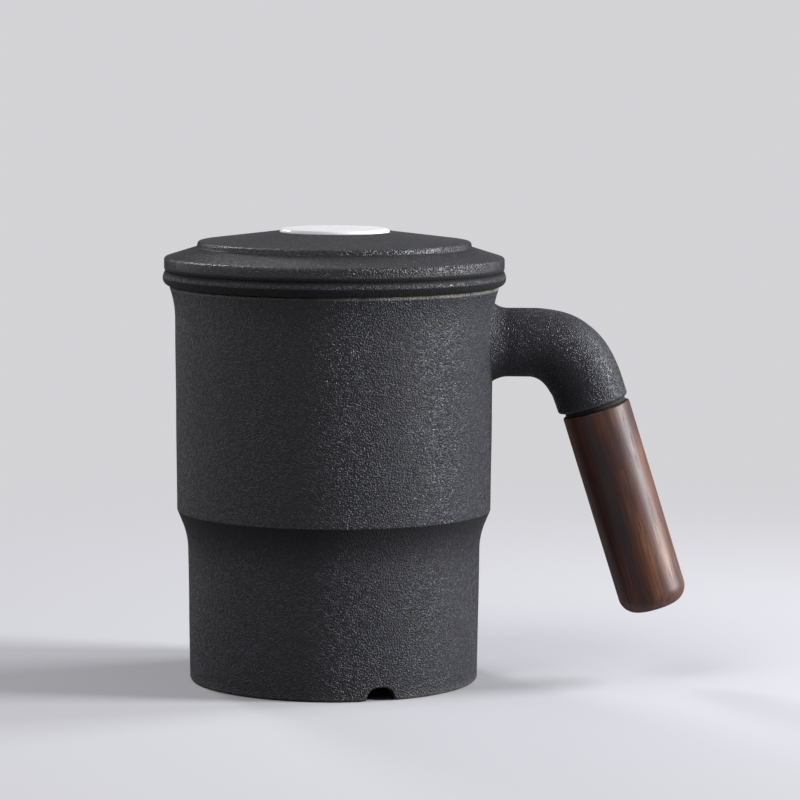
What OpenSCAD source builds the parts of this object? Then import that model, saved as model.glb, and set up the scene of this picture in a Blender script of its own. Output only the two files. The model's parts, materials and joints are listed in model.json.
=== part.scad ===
// Tea mug with a lift-out infuser, a loose lid and a side handle ending in a turned wood grip.
// Origin: on the cup's axis, in the plane that the foot stands on. +Z is up, the handle points to +X.
// All sizes are in millimetres.

/* [Cup] */
// Height of the lip above the table
cup_h = 106.5; // [100:0.5:125]
// Outer diameter of the upper body, just above the step
upper_d = 84.5; // [82:0.5:96]
// How much wider the upper body grows up to the lip flare, on the diameter
upper_draft = 1; // [0:0.1:2]
// Outer diameter of the lip, at the top of its flare
lip_d = 88.9; // [88:0.1:104]
// Height of the soft flare under the lip
flare_h = 10; // [8:0.5:14]
// Height of the step's crease above the table
step_z = 46.1; // [38:0.1:56]
// Outer diameter of the lower body, below the cove
lower_d = 78.8; // [72:0.1:80]
// Outer diameter of the foot
foot_d = 77.6; // [70:0.1:79]
// Angle of the step's slope from the vertical
step_angle = 22.5; // [18:0.5:32]
// Radius of the cove that runs into the step's slope
cove_r = 20; // [12:1:24]
// Thickness of the cup's wall
wall = 4; // [3.2:0.1:5]
// Thickness of the cup's floor
floor_t = 5; // [4:0.1:7]
// Radius of the inside corner at the floor
floor_corner_r = 5; // [3:0.5:8]
// Radius of the lip's outer edge
lip_edge_r = 0.8; // [0.4:0.1:1.2]

/* [Foot ring] */
// Depth of the recess inside the foot ring
foot_recess_h = 3.5; // [2:0.1:3.9]
// Width of the foot ring
foot_ring_w = 4.5; // [3.5:0.1:6]
// Radius of the foot's outer edge
foot_edge_r = 0.7; // [0.3:0.1:1.2]
// Number of drain notches in the foot ring
notch_count = 3; // [1:1:4]
// Width of a drain notch
notch_w = 7.4; // [5:0.1:9]
// Height of a drain notch
notch_h = 3; // [2:0.1:3.4]
// Direction of the first drain notch, from +X towards +Y
notch_azimuth = -70.5; // [-180:0.5:180]

/* [Handle arm] */
// Diameter of the stoneware arm
arm_d = 19.2; // [16:0.1:21]
// Height of the arm's axis below the lip
arm_drop = 15.3; // [14.5:0.1:24]
// Straight length of the arm between the upper body and its bend
arm_len = 10; // [6:0.5:16]
// Radius of the bend, on the arm's axis
bend_r = 16.6; // [14:0.1:24]
// Straight length of the arm below its bend
arm_tail = 5.2; // [3:0.1:8]
// Lean of the grip away from the vertical
grip_lean = 17.4; // [10:0.1:25]
// How far the arm swells where it joins the cup
root_swell = 1.3; // [0.8:0.1:2.5]
// Radius of the edge at the arm's end
arm_edge_r = 1.2; // [0.3:0.1:1.8]

/* [Wood grip] */
// Length of the wood grip along its axis
grip_len = 56.9; // [45:0.1:62]
// Diameter of the grip at the arm
grip_top_d = 18.5; // [15:0.1:19]
// Diameter of the grip near its free end
grip_end_d = 18.4; // [16:0.1:20]
// Radius of the grip's free edge
grip_edge_r = 4.7; // [1.5:0.1:6]
// Height of the dome on the grip's free end
grip_dome_h = 0.5; // [0.3:0.1:1.5]
// Radius of the grip's edge at the arm
grip_break_r = 0.8; // [0.3:0.1:1.2]

/* [Grip fixing] */
// Thickness of the sealing washer between arm and grip
seal_t = 1.3; // [0.6:0.1:2]
// How far the washer's edge lies inside the grip's edge
seal_inset = 0.3; // [0.1:0.1:1]
// Diameter of the steel stud
stud_d = 6; // [5:0.5:8]
// Length of stud bonded into the arm
stud_in_arm = 13; // [9:0.5:15]
// Length of stud bonded into the grip
stud_in_grip = 22; // [15:0.5:30]
// Clearance round the stud in its two sockets
stud_fit = 0.1; // [0.05:0.01:0.3]
// Clearance beyond each end of the stud
stud_end_gap = 0.5; // [0.2:0.1:1]

/* [Infuser] */
// Depth of the basket below the lip
basket_depth = 66; // [50:0.5:72]
// Thickness of the basket's wall
basket_wall = 2.8; // [2.2:0.1:3.5]
// Gap between the basket and the inside of the cup
basket_gap = 1.8; // [1.2:0.1:3]
// Radius of the basket's lower outside corner
basket_corner_r = 6; // [4:0.5:9]
// Thickness of the flange that rests on the lip
flange_t = 3.9; // [3:0.1:5]
// How far the flange stands out beyond the lip
flange_overhang = 1.6; // [0.8:0.1:3]
// Radius of the flange's lower outside edge
flange_under_r = 2.4; // [1:0.1:2.6]
// Height of the shoulder that centres the infuser in the mouth
shoulder_h = 3; // [2:0.1:5]
// Clearance of the shoulder in the mouth
shoulder_fit = 0.6; // [0.4:0.1:1.2]
// Diameter of a drain hole
hole_d = 2.6; // [2:0.1:3.2]
// Number of rows of drain holes in the basket's wall
hole_rows = 4; // [1:1:5]
// Number of drain holes in one row
holes_per_row = 16; // [8:1:20]
// Height from one row of drain holes to the next
row_pitch = 7; // [5:0.5:9]
// Distance from one ring of drain holes in the basket's floor to the next
ring_pitch = 8; // [6:0.5:9]

/* [Lid] */
// How far the lid's edge lies inside the flange's edge
lid_inset = 0.4; // [0:0.1:1]
// Height of the upright band round the lid
band_h = 3.6; // [3:0.1:5]
// Radius of the band's upper edge
band_edge_r = 1.2; // [0.5:0.1:1.6]
// Diameter of the raised centre of the lid, at the foot of its riser
riser_d = 73.8; // [66:0.2:78]
// Rise of the sloping border from the band to the riser
border_rise = 2.75; // [1.5:0.05:4]
// Height of the riser round the centre
riser_h = 1.5; // [1:0.1:2.5]
// Lean of the riser's face away from the vertical
riser_lean = 10; // [0:1:30]
// Rise of the crown from the riser to the inlay
crown_rise = 2.7; // [1:0.1:4]
// Radius of the riser's upper edge
riser_edge_r = 1.3; // [0.4:0.1:1.5]
// Height of the hollow under the lid, above its seat
lid_hollow_h = 4.2; // [3:0.1:5]
// Radius of the corner round the top of the hollow
hollow_corner_r = 3.3; // [1:0.1:3.5]
// Depth of the spigot that drops into the basket
spigot_h = 6; // [4:0.1:9]
// Thickness of the spigot
spigot_t = 3; // [2:0.1:4]
// Clearance of the spigot in the basket
spigot_fit = 0.8; // [0.5:0.1:1.5]

/* [Lid inlay] */
// Diameter of the porcelain disc
inlay_d = 29.6; // [24:0.1:36]
// Thickness of the disc at its edge
inlay_edge_t = 1.85; // [1.2:0.05:2.5]
// Height of the disc's dome
inlay_dome_h = 1; // [0.4:0.1:1.5]
// Clearance round the disc in its recess
inlay_fit = 0.25; // [0.1:0.05:0.5]
// Thickness of the adhesive bed under the disc
bond_t = 0.35; // [0.2:0.05:0.6]
// How far the adhesive stays inside the disc's edge
bond_inset = 0.5; // [0.2:0.1:2]
// How far the disc's edge lies below the crown
inlay_sink = 0.2; // [0:0.05:0.5]

/* [Edges] */
// Radius of the two edges that face each other where the lid lies on the flange
seat_edge_r = 1.1; // [0.4:0.1:1.3]
// Radius of the soft edges that the glaze leaves on the lid's recess and spigot
glaze_edge_r = 0.7; // [0.3:0.1:1]
// Radius of the rounded mouth edges inside cup and basket
mouth_edge_r = 1.2; // [0.6:0.1:1.4]

/* [Hidden] */
$fn = 128;
HOLE_FN = 24;
ARC_STEPS = 6;
CUT = 1;
LEAST_FLARE = 0.01;

stoneware = [0.17, 0.17, 0.19];
walnut = [0.30, 0.17, 0.12];
porcelain = [0.95, 0.95, 0.96];

// Cup: outer radii, from the foot up
upper_r = upper_d / 2;
lip_r = lip_d / 2;
lower_r = lower_d / 2;
foot_r = foot_d / 2;
neck_r = upper_r + upper_draft / 2;
flare_z = cup_h - flare_h;
// The flare is one arc, tangent to the upper body, that reaches the lip's radius at the lip edge.
// Its radius is negative where the lip is drawn in instead of standing out.
flare_rise = flare_h - lip_edge_r;
flare_out = abs(lip_r - neck_r) < LEAST_FLARE ? LEAST_FLARE : lip_r - neck_r;
flare_r = (flare_rise * flare_rise + flare_out * flare_out) / (2 * flare_out);
flare_angle = asin(flare_rise / flare_r);
inside_flare_r = flare_r + wall;
// The cove is one arc, tangent to the lower body, that turns into the step's slope.
// Its radius is negative where the upper body is narrower than the lower one.
step_out = upper_r - lower_r;
step_side = step_out < 0 ? -1 : 1;
cove_turn = min(step_angle, acos(1 - min(1, abs(step_out) / cove_r)));
cove_out = cove_r * (1 - cos(cove_turn));
slope_h = (abs(step_out) - cove_out) / tan(step_angle);
cove_top_z = step_z - slope_h;
cove_z = cove_top_z - cove_r * sin(cove_turn);
cove_end = 180 - step_side * cove_turn;
outside_cove_r = step_side * cove_r;
inside_cove_r = outside_cove_r + wall;
inside_step_z = step_z + step_side * (wall * tan(step_angle / 2) + upper_draft / 2 / tan(step_angle));
floor_z = foot_recess_h + floor_t;

// Radius of the cup's inside in its upper part, at height z
function flare_inside_r(z) =
    neck_r + flare_r - sign(flare_r) * sqrt(pow(inside_flare_r, 2) - pow(z - flare_z, 2));
mouth_r = flare_inside_r(cup_h);
upper_in_r = neck_r - wall;
lower_in_r = lower_r - wall;

// Handle: the arm leaves the cup along +X, bends down and leans outwards
arm_r = arm_d / 2;
arm_z = cup_h - arm_drop;
bend_x = neck_r + arm_len;
bend_angle = 90 - grip_lean;
// The root's arc turns through this angle, and a cone at the same angle runs on into the cup
root_turn = 45;
root_arc_r = root_swell / (1 - cos(root_turn));
root_start_x = neck_r + root_arc_r * sin(root_turn);
joint_x = bend_x + bend_r * sin(bend_angle) + arm_tail * cos(bend_angle);
joint_z = arm_z - bend_r * (1 - cos(bend_angle)) - arm_tail * sin(bend_angle);
socket_d = stud_d + 2 * stud_fit;

// Infuser: the flange lies on the lip, the basket hangs in the cup
flange_r = lip_r + flange_overhang;
flange_z = cup_h;
seat_z = flange_z + flange_t;
shoulder_r = min(flare_inside_r(cup_h - shoulder_h), mouth_r) - shoulder_fit;
basket_top_r = min(upper_in_r - basket_gap, shoulder_r);
basket_low_r = min(lower_in_r - basket_gap, basket_top_r);
basket_z = cup_h - basket_depth;
neck_drop = shoulder_r - basket_top_r;
basket_neck_z = cup_h - shoulder_h - neck_drop;
basket_mouth_r = shoulder_r - basket_wall;

// Lid: its seat lies on the flange, its spigot hangs in the basket's mouth
lid_r = flange_r - lid_inset;
riser_r = riser_d / 2;
border_z = seat_z + band_h;
riser_z = border_z + border_rise;
crown_z = riser_z + riser_h;
crown_r = riser_r - riser_h * tan(riser_lean);
inlay_r = inlay_d / 2;
recess_r = inlay_r + inlay_fit;
recess_edge = glaze_edge_r / 2;
crown_top_z = crown_z + crown_rise;
border_angle = atan(border_rise / (lid_r - riser_r));
crown_angle = atan(crown_rise / (crown_r - recess_r - recess_edge));
inlay_edge_z = crown_top_z - inlay_sink;
inlay_z = inlay_edge_z - inlay_edge_t;
recess_z = inlay_z - bond_t;
spigot_r = basket_mouth_r - spigot_fit;
spigot_in_r = spigot_r - spigot_t;
spigot_z = seat_z - spigot_h;
hollow_z = seat_z + lid_hollow_h;

// Unit vector at angle a
function ray(a) = [cos(a), sin(a)];

// Points on an arc about c, from angle a to angle b
function arc(c, r, a, b) = [for (i = [0 : ARC_STEPS]) c + r * ray(a + (b - a) * i / ARC_STEPS)];

// Points that round the corner p to radius r, between faces whose normals point along a and b
function corner(p, r, a, b) = arc(p - r / (1 + cos(b - a)) * (ray(a) + ray(b)), r, a, b);

// Solid with the cup's outer form, without its inside
function cup_outline() = concat(
    [[0, 0]],
    corner([foot_r, 0], foot_edge_r, -90, 0),
    arc([lower_r + outside_cove_r, cove_z], outside_cove_r, 180, cove_end),
    [[upper_r, step_z]],
    arc([neck_r + flare_r, flare_z], flare_r, 180, 180 - flare_angle),
    corner([lip_r, cup_h], lip_edge_r, 0, 90),
    [[0, cup_h]]
);

module cup_outer() {
    rotate_extrude()
        polygon(cup_outline());
}

// The inside follows the outside at the wall's thickness, and opens at the lip
module cup_inside() {
    inside_flare_angle = asin((flare_h - mouth_edge_r) / inside_flare_r);
    mouth_low_r = flare_inside_r(cup_h - mouth_edge_r);
    rotate_extrude()
        polygon(concat(
            [[0, floor_z]],
            corner([lower_in_r, floor_z], floor_corner_r, -90, 0),
            arc([lower_r + outside_cove_r, cove_z], inside_cove_r, 180, cove_end),
            [[upper_in_r, inside_step_z]],
            arc([neck_r + flare_r, flare_z], inside_flare_r, 180, 180 - inside_flare_angle),
            arc([mouth_low_r + mouth_edge_r, cup_h - mouth_edge_r], mouth_edge_r, 180, 90),
            [[mouth_low_r + mouth_edge_r, cup_h + CUT], [0, cup_h + CUT]]
        ));
}

// Recess under the base, inside the foot ring
module foot_recess() {
    recess_out_r = foot_r - foot_ring_w;
    translate([0, 0, -CUT])
        cylinder(r = recess_out_r, h = foot_recess_h + CUT);
}

// Arched notches across the foot ring, which let wash water run out
module drain_notches() {
    notch_r = (notch_w * notch_w / 4 + notch_h * notch_h) / (2 * notch_h);
    for (i = [0 : notch_count - 1])
        rotate([0, 0, notch_azimuth + 360 * i / notch_count])
            translate([foot_r - foot_ring_w - CUT, 0, notch_h - notch_r])
                rotate([0, 90, 0])
                    cylinder(r = notch_r, h = foot_ring_w + 2 * CUT);
}

module mug_body() {
    color(stoneware)
        difference() {
            cup_outer();
            cup_inside();
            foot_recess();
            drain_notches();
        }
}

// Places its children at the arm's end, with +Z running down the grip's axis
module at_joint() {
    translate([joint_x, 0, joint_z])
        rotate([0, 180 - grip_lean, 0])
            children();
}

// Straight root of the arm: a swelling against the cup that an arc runs down into the arm
module arm_root() {
    root_r = arm_r + root_swell;
    side_r = neck_r - root_r;
    side_depth = (side_r - sqrt(side_r * side_r - 2 * root_r * root_r)) / 2;
    root_in_x = upper_r - side_depth - CUT;
    root_in_r = root_r + (neck_r - root_in_x) * tan(root_turn);
    translate([0, 0, arm_z])
        rotate([0, 90, 0])
            rotate_extrude()
                difference() {
                    polygon([[0, root_in_x], [root_in_r, root_in_x], [root_r, neck_r],
                             [arm_r, root_start_x], [arm_r, bend_x], [0, bend_x]]);
                    translate([arm_r + root_arc_r, root_start_x])
                        circle(r = root_arc_r);
                }
}

module arm_bend() {
    translate([bend_x, 0, arm_z - bend_r])
        rotate([0, -90, -90])
            rotate_extrude(angle = bend_angle)
                translate([bend_r, 0])
                    circle(r = arm_r);
}

// Straight end of the arm, with a rounded edge and a core that runs back into the bend
module arm_end() {
    core_r = arm_r - CUT;
    at_joint()
        rotate_extrude()
            polygon(concat(
                [[0, -arm_tail - CUT], [core_r, -arm_tail - CUT], [core_r, -arm_tail], [arm_r, -arm_tail]],
                corner([arm_r, 0], arm_edge_r, 0, 90),
                [[0, 0]]
            ));
}

module handle_arm() {
    color(stoneware)
        difference() {
            union() {
                arm_root();
                arm_bend();
                arm_end();
            }
            cup_outer();
            at_joint()
                translate([0, 0, -stud_in_arm - stud_end_gap])
                    cylinder(d = socket_d, h = stud_in_arm + stud_end_gap + CUT);
        }
}

module grip_stud() {
    color("silver")
        at_joint()
            translate([0, 0, -stud_in_arm])
                cylinder(d = stud_d, h = stud_in_arm + seal_t + stud_in_grip);
}

module grip_seal() {
    color([0.05, 0.05, 0.05])
        at_joint()
            difference() {
                cylinder(d = grip_top_d - 2 * seal_inset, h = seal_t);
                translate([0, 0, -CUT])
                    cylinder(d = socket_d, h = seal_t + 2 * CUT);
            }
}

// Turned grip: a slight taper, a rounded free edge and a low dome
module wood_grip() {
    top_r = grip_top_d / 2;
    end_r = grip_end_d / 2;
    flat_r = end_r - grip_edge_r;
    dome_r = (flat_r * flat_r + grip_dome_h * grip_dome_h) / (2 * grip_dome_h);
    dome_angle = asin(flat_r / dome_r);
    edge_z = grip_len - grip_dome_h - grip_edge_r;
    color(walnut)
        at_joint()
            translate([0, 0, seal_t])
                difference() {
                    rotate_extrude()
                        polygon(concat(
                            [[0, 0]],
                            corner([top_r, 0], grip_break_r, -90, 0),
                            arc([flat_r, edge_z], grip_edge_r, 0, 90 - dome_angle),
                            arc([0, grip_len - dome_r], dome_r, 90 - dome_angle, 90)
                        ));
                    translate([0, 0, -CUT])
                        cylinder(d = socket_d, h = stud_in_grip + stud_end_gap + CUT);
                }
}

// Basket and flange in one revolved form, open at the top
module infuser_form() {
    inside_low_r = basket_low_r - basket_wall;
    inside_corner_r = basket_corner_r - basket_wall;
    inside_z = basket_z + basket_wall;
    rotate_extrude()
        polygon(concat(
            [[0, basket_z]],
            corner([basket_low_r, basket_z], basket_corner_r, -90, 0),
            [[basket_top_r, basket_neck_z], [shoulder_r, cup_h - shoulder_h], [shoulder_r, flange_z]],
            corner([flange_r, flange_z], flange_under_r, -90, 0),
            corner([flange_r, seat_z], seat_edge_r, 0, 90),
            corner([basket_mouth_r, seat_z], mouth_edge_r, 90, 180),
            [[basket_mouth_r, cup_h - shoulder_h], [basket_top_r - basket_wall, basket_neck_z]],
            corner([inside_low_r, inside_z], inside_corner_r, 0, -90),
            [[0, inside_z]]
        ));
}

// Rows of holes through the lower wall, each row turned half a step against the last
module wall_holes() {
    first_z = basket_z + basket_corner_r + hole_d;
    inside_r = basket_low_r - basket_wall - CUT;
    for (row = [0 : hole_rows - 1], i = [0 : holes_per_row - 1])
        rotate([0, 0, 360 * (i + row / 2) / holes_per_row])
            translate([inside_r, 0, first_z + row * row_pitch])
                rotate([0, 90, 0])
                    cylinder(d = hole_d, h = upper_r - inside_r, $fn = HOLE_FN);
}

// One hole in the middle of the floor and rings of six, twelve and eighteen round it
module floor_holes() {
    rings = floor((basket_low_r - basket_corner_r - hole_d) / ring_pitch);
    for (ring = [0 : rings], i = [0 : max(1, 6 * ring) - 1])
        rotate([0, 0, 60 * i / max(1, ring)])
            translate([ring * ring_pitch, 0, basket_z - CUT])
                cylinder(d = hole_d, h = basket_wall + 2 * CUT, $fn = HOLE_FN);
}

module infuser() {
    color(stoneware)
        difference() {
            infuser_form();
            wall_holes();
            floor_holes();
        }
}

// Stepped and crowned lid, hollow underneath, with a spigot that centres it
module lid() {
    color(stoneware)
        rotate_extrude()
            polygon(concat(
                [[0, recess_z], [recess_r, recess_z], [recess_r, crown_top_z - recess_edge]],
                [[recess_r + recess_edge, crown_top_z]],
                corner([crown_r, crown_z], riser_edge_r, 90 - crown_angle, riser_lean),
                [[riser_r, riser_z]],
                corner([lid_r, border_z], band_edge_r, 90 - border_angle, 0),
                corner([lid_r, seat_z], seat_edge_r, 0, -90),
                [[spigot_r, seat_z]],
                corner([spigot_r, spigot_z], glaze_edge_r, 0, -90),
                corner([spigot_in_r, spigot_z], glaze_edge_r, -90, -180),
                corner([spigot_in_r, hollow_z], hollow_corner_r, 0, 90),
                [[0, hollow_z]]
            ));
}

module inlay_bond() {
    color([0.8, 0.8, 0.75])
        translate([0, 0, recess_z])
            cylinder(r = inlay_r - bond_inset, h = bond_t);
}

// Slightly domed disc with a fine rounded edge
module lid_inlay() {
    edge_r = inlay_edge_t / 4;
    flat_r = inlay_r - edge_r;
    dome_r = (flat_r * flat_r + inlay_dome_h * inlay_dome_h) / (2 * inlay_dome_h);
    dome_angle = asin(flat_r / dome_r);
    color(porcelain)
        rotate_extrude()
            polygon(concat(
                [[0, inlay_z], [inlay_r, inlay_z]],
                arc([flat_r, inlay_edge_z - edge_r], edge_r, 0, 90 - dome_angle),
                arc([0, inlay_edge_z + inlay_dome_h - dome_r], dome_r, 90 - dome_angle, 90)
            ));
}

mug_body();
handle_arm();
grip_stud();
grip_seal();
wood_grip();
infuser();
lid();
inlay_bond();
lid_inlay();
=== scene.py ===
"""Looks of the lidded tea mug: stoneware cup and arm, turned wood grip, drained infuser and inlaid lid.

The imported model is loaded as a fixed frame. Each sub-assembly is a class that holds its sizes in millimetres
about the cup's axis, builds its pieces on them, and dresses them with procedural finishes.
"""

import json
import logging
import math
from collections.abc import Callable, Sequence
from dataclasses import dataclass, field
from enum import Enum

import bmesh
import bpy
import numpy as np
from mathutils import Matrix, Vector, noise
from mathutils.geometry import delaunay_2d_cdt

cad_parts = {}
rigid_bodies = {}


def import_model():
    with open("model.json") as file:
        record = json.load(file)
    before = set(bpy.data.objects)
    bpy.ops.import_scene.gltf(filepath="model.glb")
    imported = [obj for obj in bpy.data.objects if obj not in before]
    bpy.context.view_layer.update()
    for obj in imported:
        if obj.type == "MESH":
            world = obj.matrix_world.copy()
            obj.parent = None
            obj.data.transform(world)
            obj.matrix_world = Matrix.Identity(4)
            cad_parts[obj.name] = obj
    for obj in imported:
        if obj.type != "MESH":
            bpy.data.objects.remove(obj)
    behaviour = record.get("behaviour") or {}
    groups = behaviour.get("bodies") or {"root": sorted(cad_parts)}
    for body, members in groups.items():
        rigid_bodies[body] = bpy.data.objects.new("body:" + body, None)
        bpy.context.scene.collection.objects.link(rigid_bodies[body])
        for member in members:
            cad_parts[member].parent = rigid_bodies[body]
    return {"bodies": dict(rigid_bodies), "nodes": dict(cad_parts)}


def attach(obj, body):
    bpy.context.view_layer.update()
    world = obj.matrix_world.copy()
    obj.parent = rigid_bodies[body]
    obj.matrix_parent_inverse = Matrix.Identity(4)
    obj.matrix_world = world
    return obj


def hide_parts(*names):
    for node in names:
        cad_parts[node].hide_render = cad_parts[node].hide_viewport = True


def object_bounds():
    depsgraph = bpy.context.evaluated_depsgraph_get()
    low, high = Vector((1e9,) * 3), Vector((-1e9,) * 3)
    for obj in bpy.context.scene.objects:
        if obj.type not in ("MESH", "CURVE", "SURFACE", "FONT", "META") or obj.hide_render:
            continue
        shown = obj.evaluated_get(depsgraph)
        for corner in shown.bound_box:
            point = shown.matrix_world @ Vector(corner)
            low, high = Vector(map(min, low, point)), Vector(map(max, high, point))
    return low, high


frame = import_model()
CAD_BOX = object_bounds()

LOG = logging.getLogger("tea_mug")
MM = 0.001
# Name of the vertex attribute that holds thin glaze and, where negative, painted shade
CLAY_AND_SHADE_ATTRIBUTE = "thin"
PAINTED_SHADE = -1.0  # Deepest painted shade, on the scale of a corner's thinness: the darkest glaze colour laid where shade falls
WARM_LIGHT = (0.98, 0.97, 1.0)
COOL_LIGHT = (0.94, 0.955, 1.0)
NOISE_BAND = (0.3, 0.7)  # Values between which most of a noise pattern lies

Colour = tuple[float, float, float]
Point = tuple[float, float]
Socket = bpy.types.NodeSocket


class Body(Enum):
    """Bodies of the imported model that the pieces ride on."""

    MUG = "mug"
    INFUSER = "infuser"
    LID = "lid"


# ---------------------------------------------------------------------------------------------------------
# Shapes
# ---------------------------------------------------------------------------------------------------------


@dataclass(frozen=True)
class Corner:
    """One corner of a turned outline.

    Attributes:
        r: Distance from the axis, in mm.
        z: Height, in mm.
        fillet: Radius that rounds the corner, in mm.
        thin: How thin the glaze runs over the corner, from 1 for bare clay, down to -1 for the deepest painted
            shade.
    """

    r: float
    z: float
    fillet: float = 0.0
    thin: float = 0.0


@dataclass
class Outline:
    """Points of a turned outline, with the thinness of the glaze at each.

    Attributes:
        points: Distance from the axis and height of each point, in mm.
        thin: How thin the glaze is at each point, from 1, with negative values for painted shade, down to -1.
    """

    points: list[Point] = field(default_factory=list)
    thin: list[float] = field(default_factory=list)

    def put(self, point: np.ndarray, thin: float) -> None:
        """Adds one point."""
        self.points.append((float(point[0]), float(point[1])))
        self.thin.append(thin)


@dataclass(frozen=True)
class Tracer:
    """Turns corners into a smooth row of points.

    Attributes:
        step: Longest distance between two points on a straight, in mm.
        arc_step: Longest distance between two points on a fillet, in mm.
        turn_step: Most that a fillet turns between two points, in degrees.
        least_steps: Fewest steps on a fillet.
        support: Distance of the extra point beside each corner, in mm.
        fade: Share of a corner's mark, thin glaze and painted shade alike, that is left at that extra point.
        crowded: Length, in supports, under which a straight gets no points of its own.
    """

    step: float = 1.5
    arc_step: float = 0.9
    turn_step: float = 12.0
    least_steps: int = 3
    support: float = 0.35
    fade: float = 0.35
    crowded: float = 3.0

    def trace(self, corners: Sequence[Corner]) -> Outline:
        """Rounds the corners and fills the straights between them.

        Args:
            corners: The outline's corners, in order.

        Returns:
            The outline's points.
        """
        rounded = Outline()
        starts: list[int] = []
        for i, corner in enumerate(corners):
            starts.append(len(rounded.points))
            for point in self._arc(corners, i):
                rounded.put(point, corner.thin)
        outline = Outline()
        for i, point in enumerate(rounded.points):
            if i and i in starts:
                self._fill(outline, np.array(point), rounded.thin[i])
            outline.put(np.array(point), rounded.thin[i])
        return outline

    def _arc(self, corners: Sequence[Corner], i: int) -> list[np.ndarray]:
        """Finds the points that round one corner.

        Args:
            corners: The outline's corners.
            i: Which corner.

        Returns:
            The points of its fillet, or the corner itself where it has none.
        """
        here = np.array((corners[i].r, corners[i].z))
        if i in (0, len(corners) - 1) or corners[i].fillet == 0:
            return [here]
        back = np.array((corners[i - 1].r, corners[i - 1].z)) - here
        ahead = np.array((corners[i + 1].r, corners[i + 1].z)) - here
        back /= np.linalg.norm(back)
        ahead /= np.linalg.norm(ahead)
        turn = math.pi - math.acos(float(np.clip(back @ ahead, -1, 1)))
        inward = (back + ahead) / np.linalg.norm(back + ahead)
        centre = here + inward * corners[i].fillet / math.cos(turn / 2)
        reach = corners[i].fillet * math.tan(turn / 2)
        first = here + back * reach - centre
        last = here + ahead * reach - centre
        by_turn = math.ceil(math.degrees(turn) / self.turn_step)
        by_length = math.ceil(turn * corners[i].fillet / self.arc_step)
        steps = max(self.least_steps, by_turn, by_length)
        return [
            centre + (math.sin((1 - t) * turn) * first + math.sin(t * turn) * last) / math.sin(turn)
            for t in np.linspace(0, 1, steps + 1)
        ]

    def _fill(self, outline: Outline, end: np.ndarray, end_thin: float) -> None:
        """Fills the straight from the outline's last point to its next one.

        Args:
            outline: The outline so far.
            end: The next point.
            end_thin: How thin the glaze is there, negative for painted shade.
        """
        start = np.array(outline.points[-1])
        length = float(np.linalg.norm(end - start))
        if length < self.crowded * self.support:
            return
        count = max(1, round((length - 2 * self.support) / self.step))
        distances = np.linspace(self.support, length - self.support, count + 1)
        thins = [outline.thin[-1], *[0.0] * (count - 1), end_thin]
        for distance, thin in zip(distances, thins):
            outline.put(start + (end - start) * distance / length, thin * self.fade)


@dataclass
class Surface:
    """A mesh in the making, in millimetres.

    Attributes:
        points: One row of x, y and z for each vertex.
        faces: Vertex numbers of each face.
        thin: How thin the glaze is at each vertex, from 1, with negative values for painted shade, down to -1.
    """

    points: np.ndarray
    faces: list[tuple[int, ...]]
    thin: np.ndarray

    def joined(self, *others: "Surface") -> "Surface":
        """Puts several surfaces into one.

        Args:
            others: The surfaces to add.

        Returns:
            One surface with the faces of all.
        """
        points, faces, thin = [self.points], list(self.faces), [self.thin]
        count = len(self.points)
        for other in others:
            faces += [tuple(v + count for v in face) for face in other.faces]
            points.append(other.points)
            thin.append(other.thin)
            count += len(other.points)
        return Surface(np.vstack(points), faces, np.concatenate(thin))

    def placed(self, matrix: Matrix) -> "Surface":
        """Moves the surface by a matrix whose shift is in millimetres."""
        turn = np.array(matrix.to_3x3())
        return Surface(self.points @ turn.T + np.array(matrix.translation), self.faces, self.thin)

    def build(self, name: str) -> bpy.types.Object:
        """Makes a smooth Blender mesh of the surface, with double points welded.

        Args:
            name: Name of the new object.

        Returns:
            The object, in metres.
        """
        weld = 1e-7
        mesh = bpy.data.meshes.new(name)
        mesh.from_pydata((self.points * MM).tolist(), [], self.faces)
        mesh.attributes.new(CLAY_AND_SHADE_ATTRIBUTE, "FLOAT", "POINT").data.foreach_set("value", self.thin.astype(np.float32))
        shell = bmesh.new()
        shell.from_mesh(mesh)
        bmesh.ops.remove_doubles(shell, verts=shell.verts, dist=weld)
        bmesh.ops.recalc_face_normals(shell, faces=shell.faces)
        for face in shell.faces:
            face.smooth = True
        shell.to_mesh(mesh)
        shell.free()
        piece = bpy.data.objects.new(name, mesh)
        bpy.context.scene.collection.objects.link(piece)
        return piece


def band_faces(rows: int, columns: int) -> list[tuple[int, ...]]:
    """Joins closed rows of vertices into faces.

    Args:
        rows: Number of rows.
        columns: Number of vertices in each row.

    Returns:
        The vertex numbers of each face.
    """
    faces = []
    for row in range(rows - 1):
        low, high = row * columns, (row + 1) * columns
        for i in range(columns):
            k = (i + 1) % columns
            faces.append((low + i, low + k, high + k, high + i))
    return faces


def lathe(outline: Outline, angles: np.ndarray) -> Surface:
    """Turns an outline about the vertical axis.

    Args:
        outline: The outline; a point on the axis becomes a pole.
        angles: Direction of each column of vertices, in radians, without the closing one.

    Returns:
        The turned surface.
    """
    points: list[tuple[float, float, float]] = []
    thin: list[float] = []
    rings: list[list[int]] = []
    on_axis = 1e-6
    for (r, z), value in zip(outline.points, outline.thin):
        first = len(points)
        if r < on_axis:
            points.append((0.0, 0.0, z))
            rings.append([first] * len(angles))
        else:
            points += [(r * math.cos(a), r * math.sin(a), z) for a in angles]
            rings.append(list(range(first, first + len(angles))))
        thin += [value] * (len(points) - first)
    faces = []
    for low, high in zip(rings, rings[1:]):
        for j in range(len(angles)):
            k = (j + 1) % len(angles)
            face = tuple(dict.fromkeys((low[j], low[k], high[k], high[j])))
            if len(face) > 2:
                faces.append(face)
    return Surface(np.array(points), faces, np.array(thin))


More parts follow.
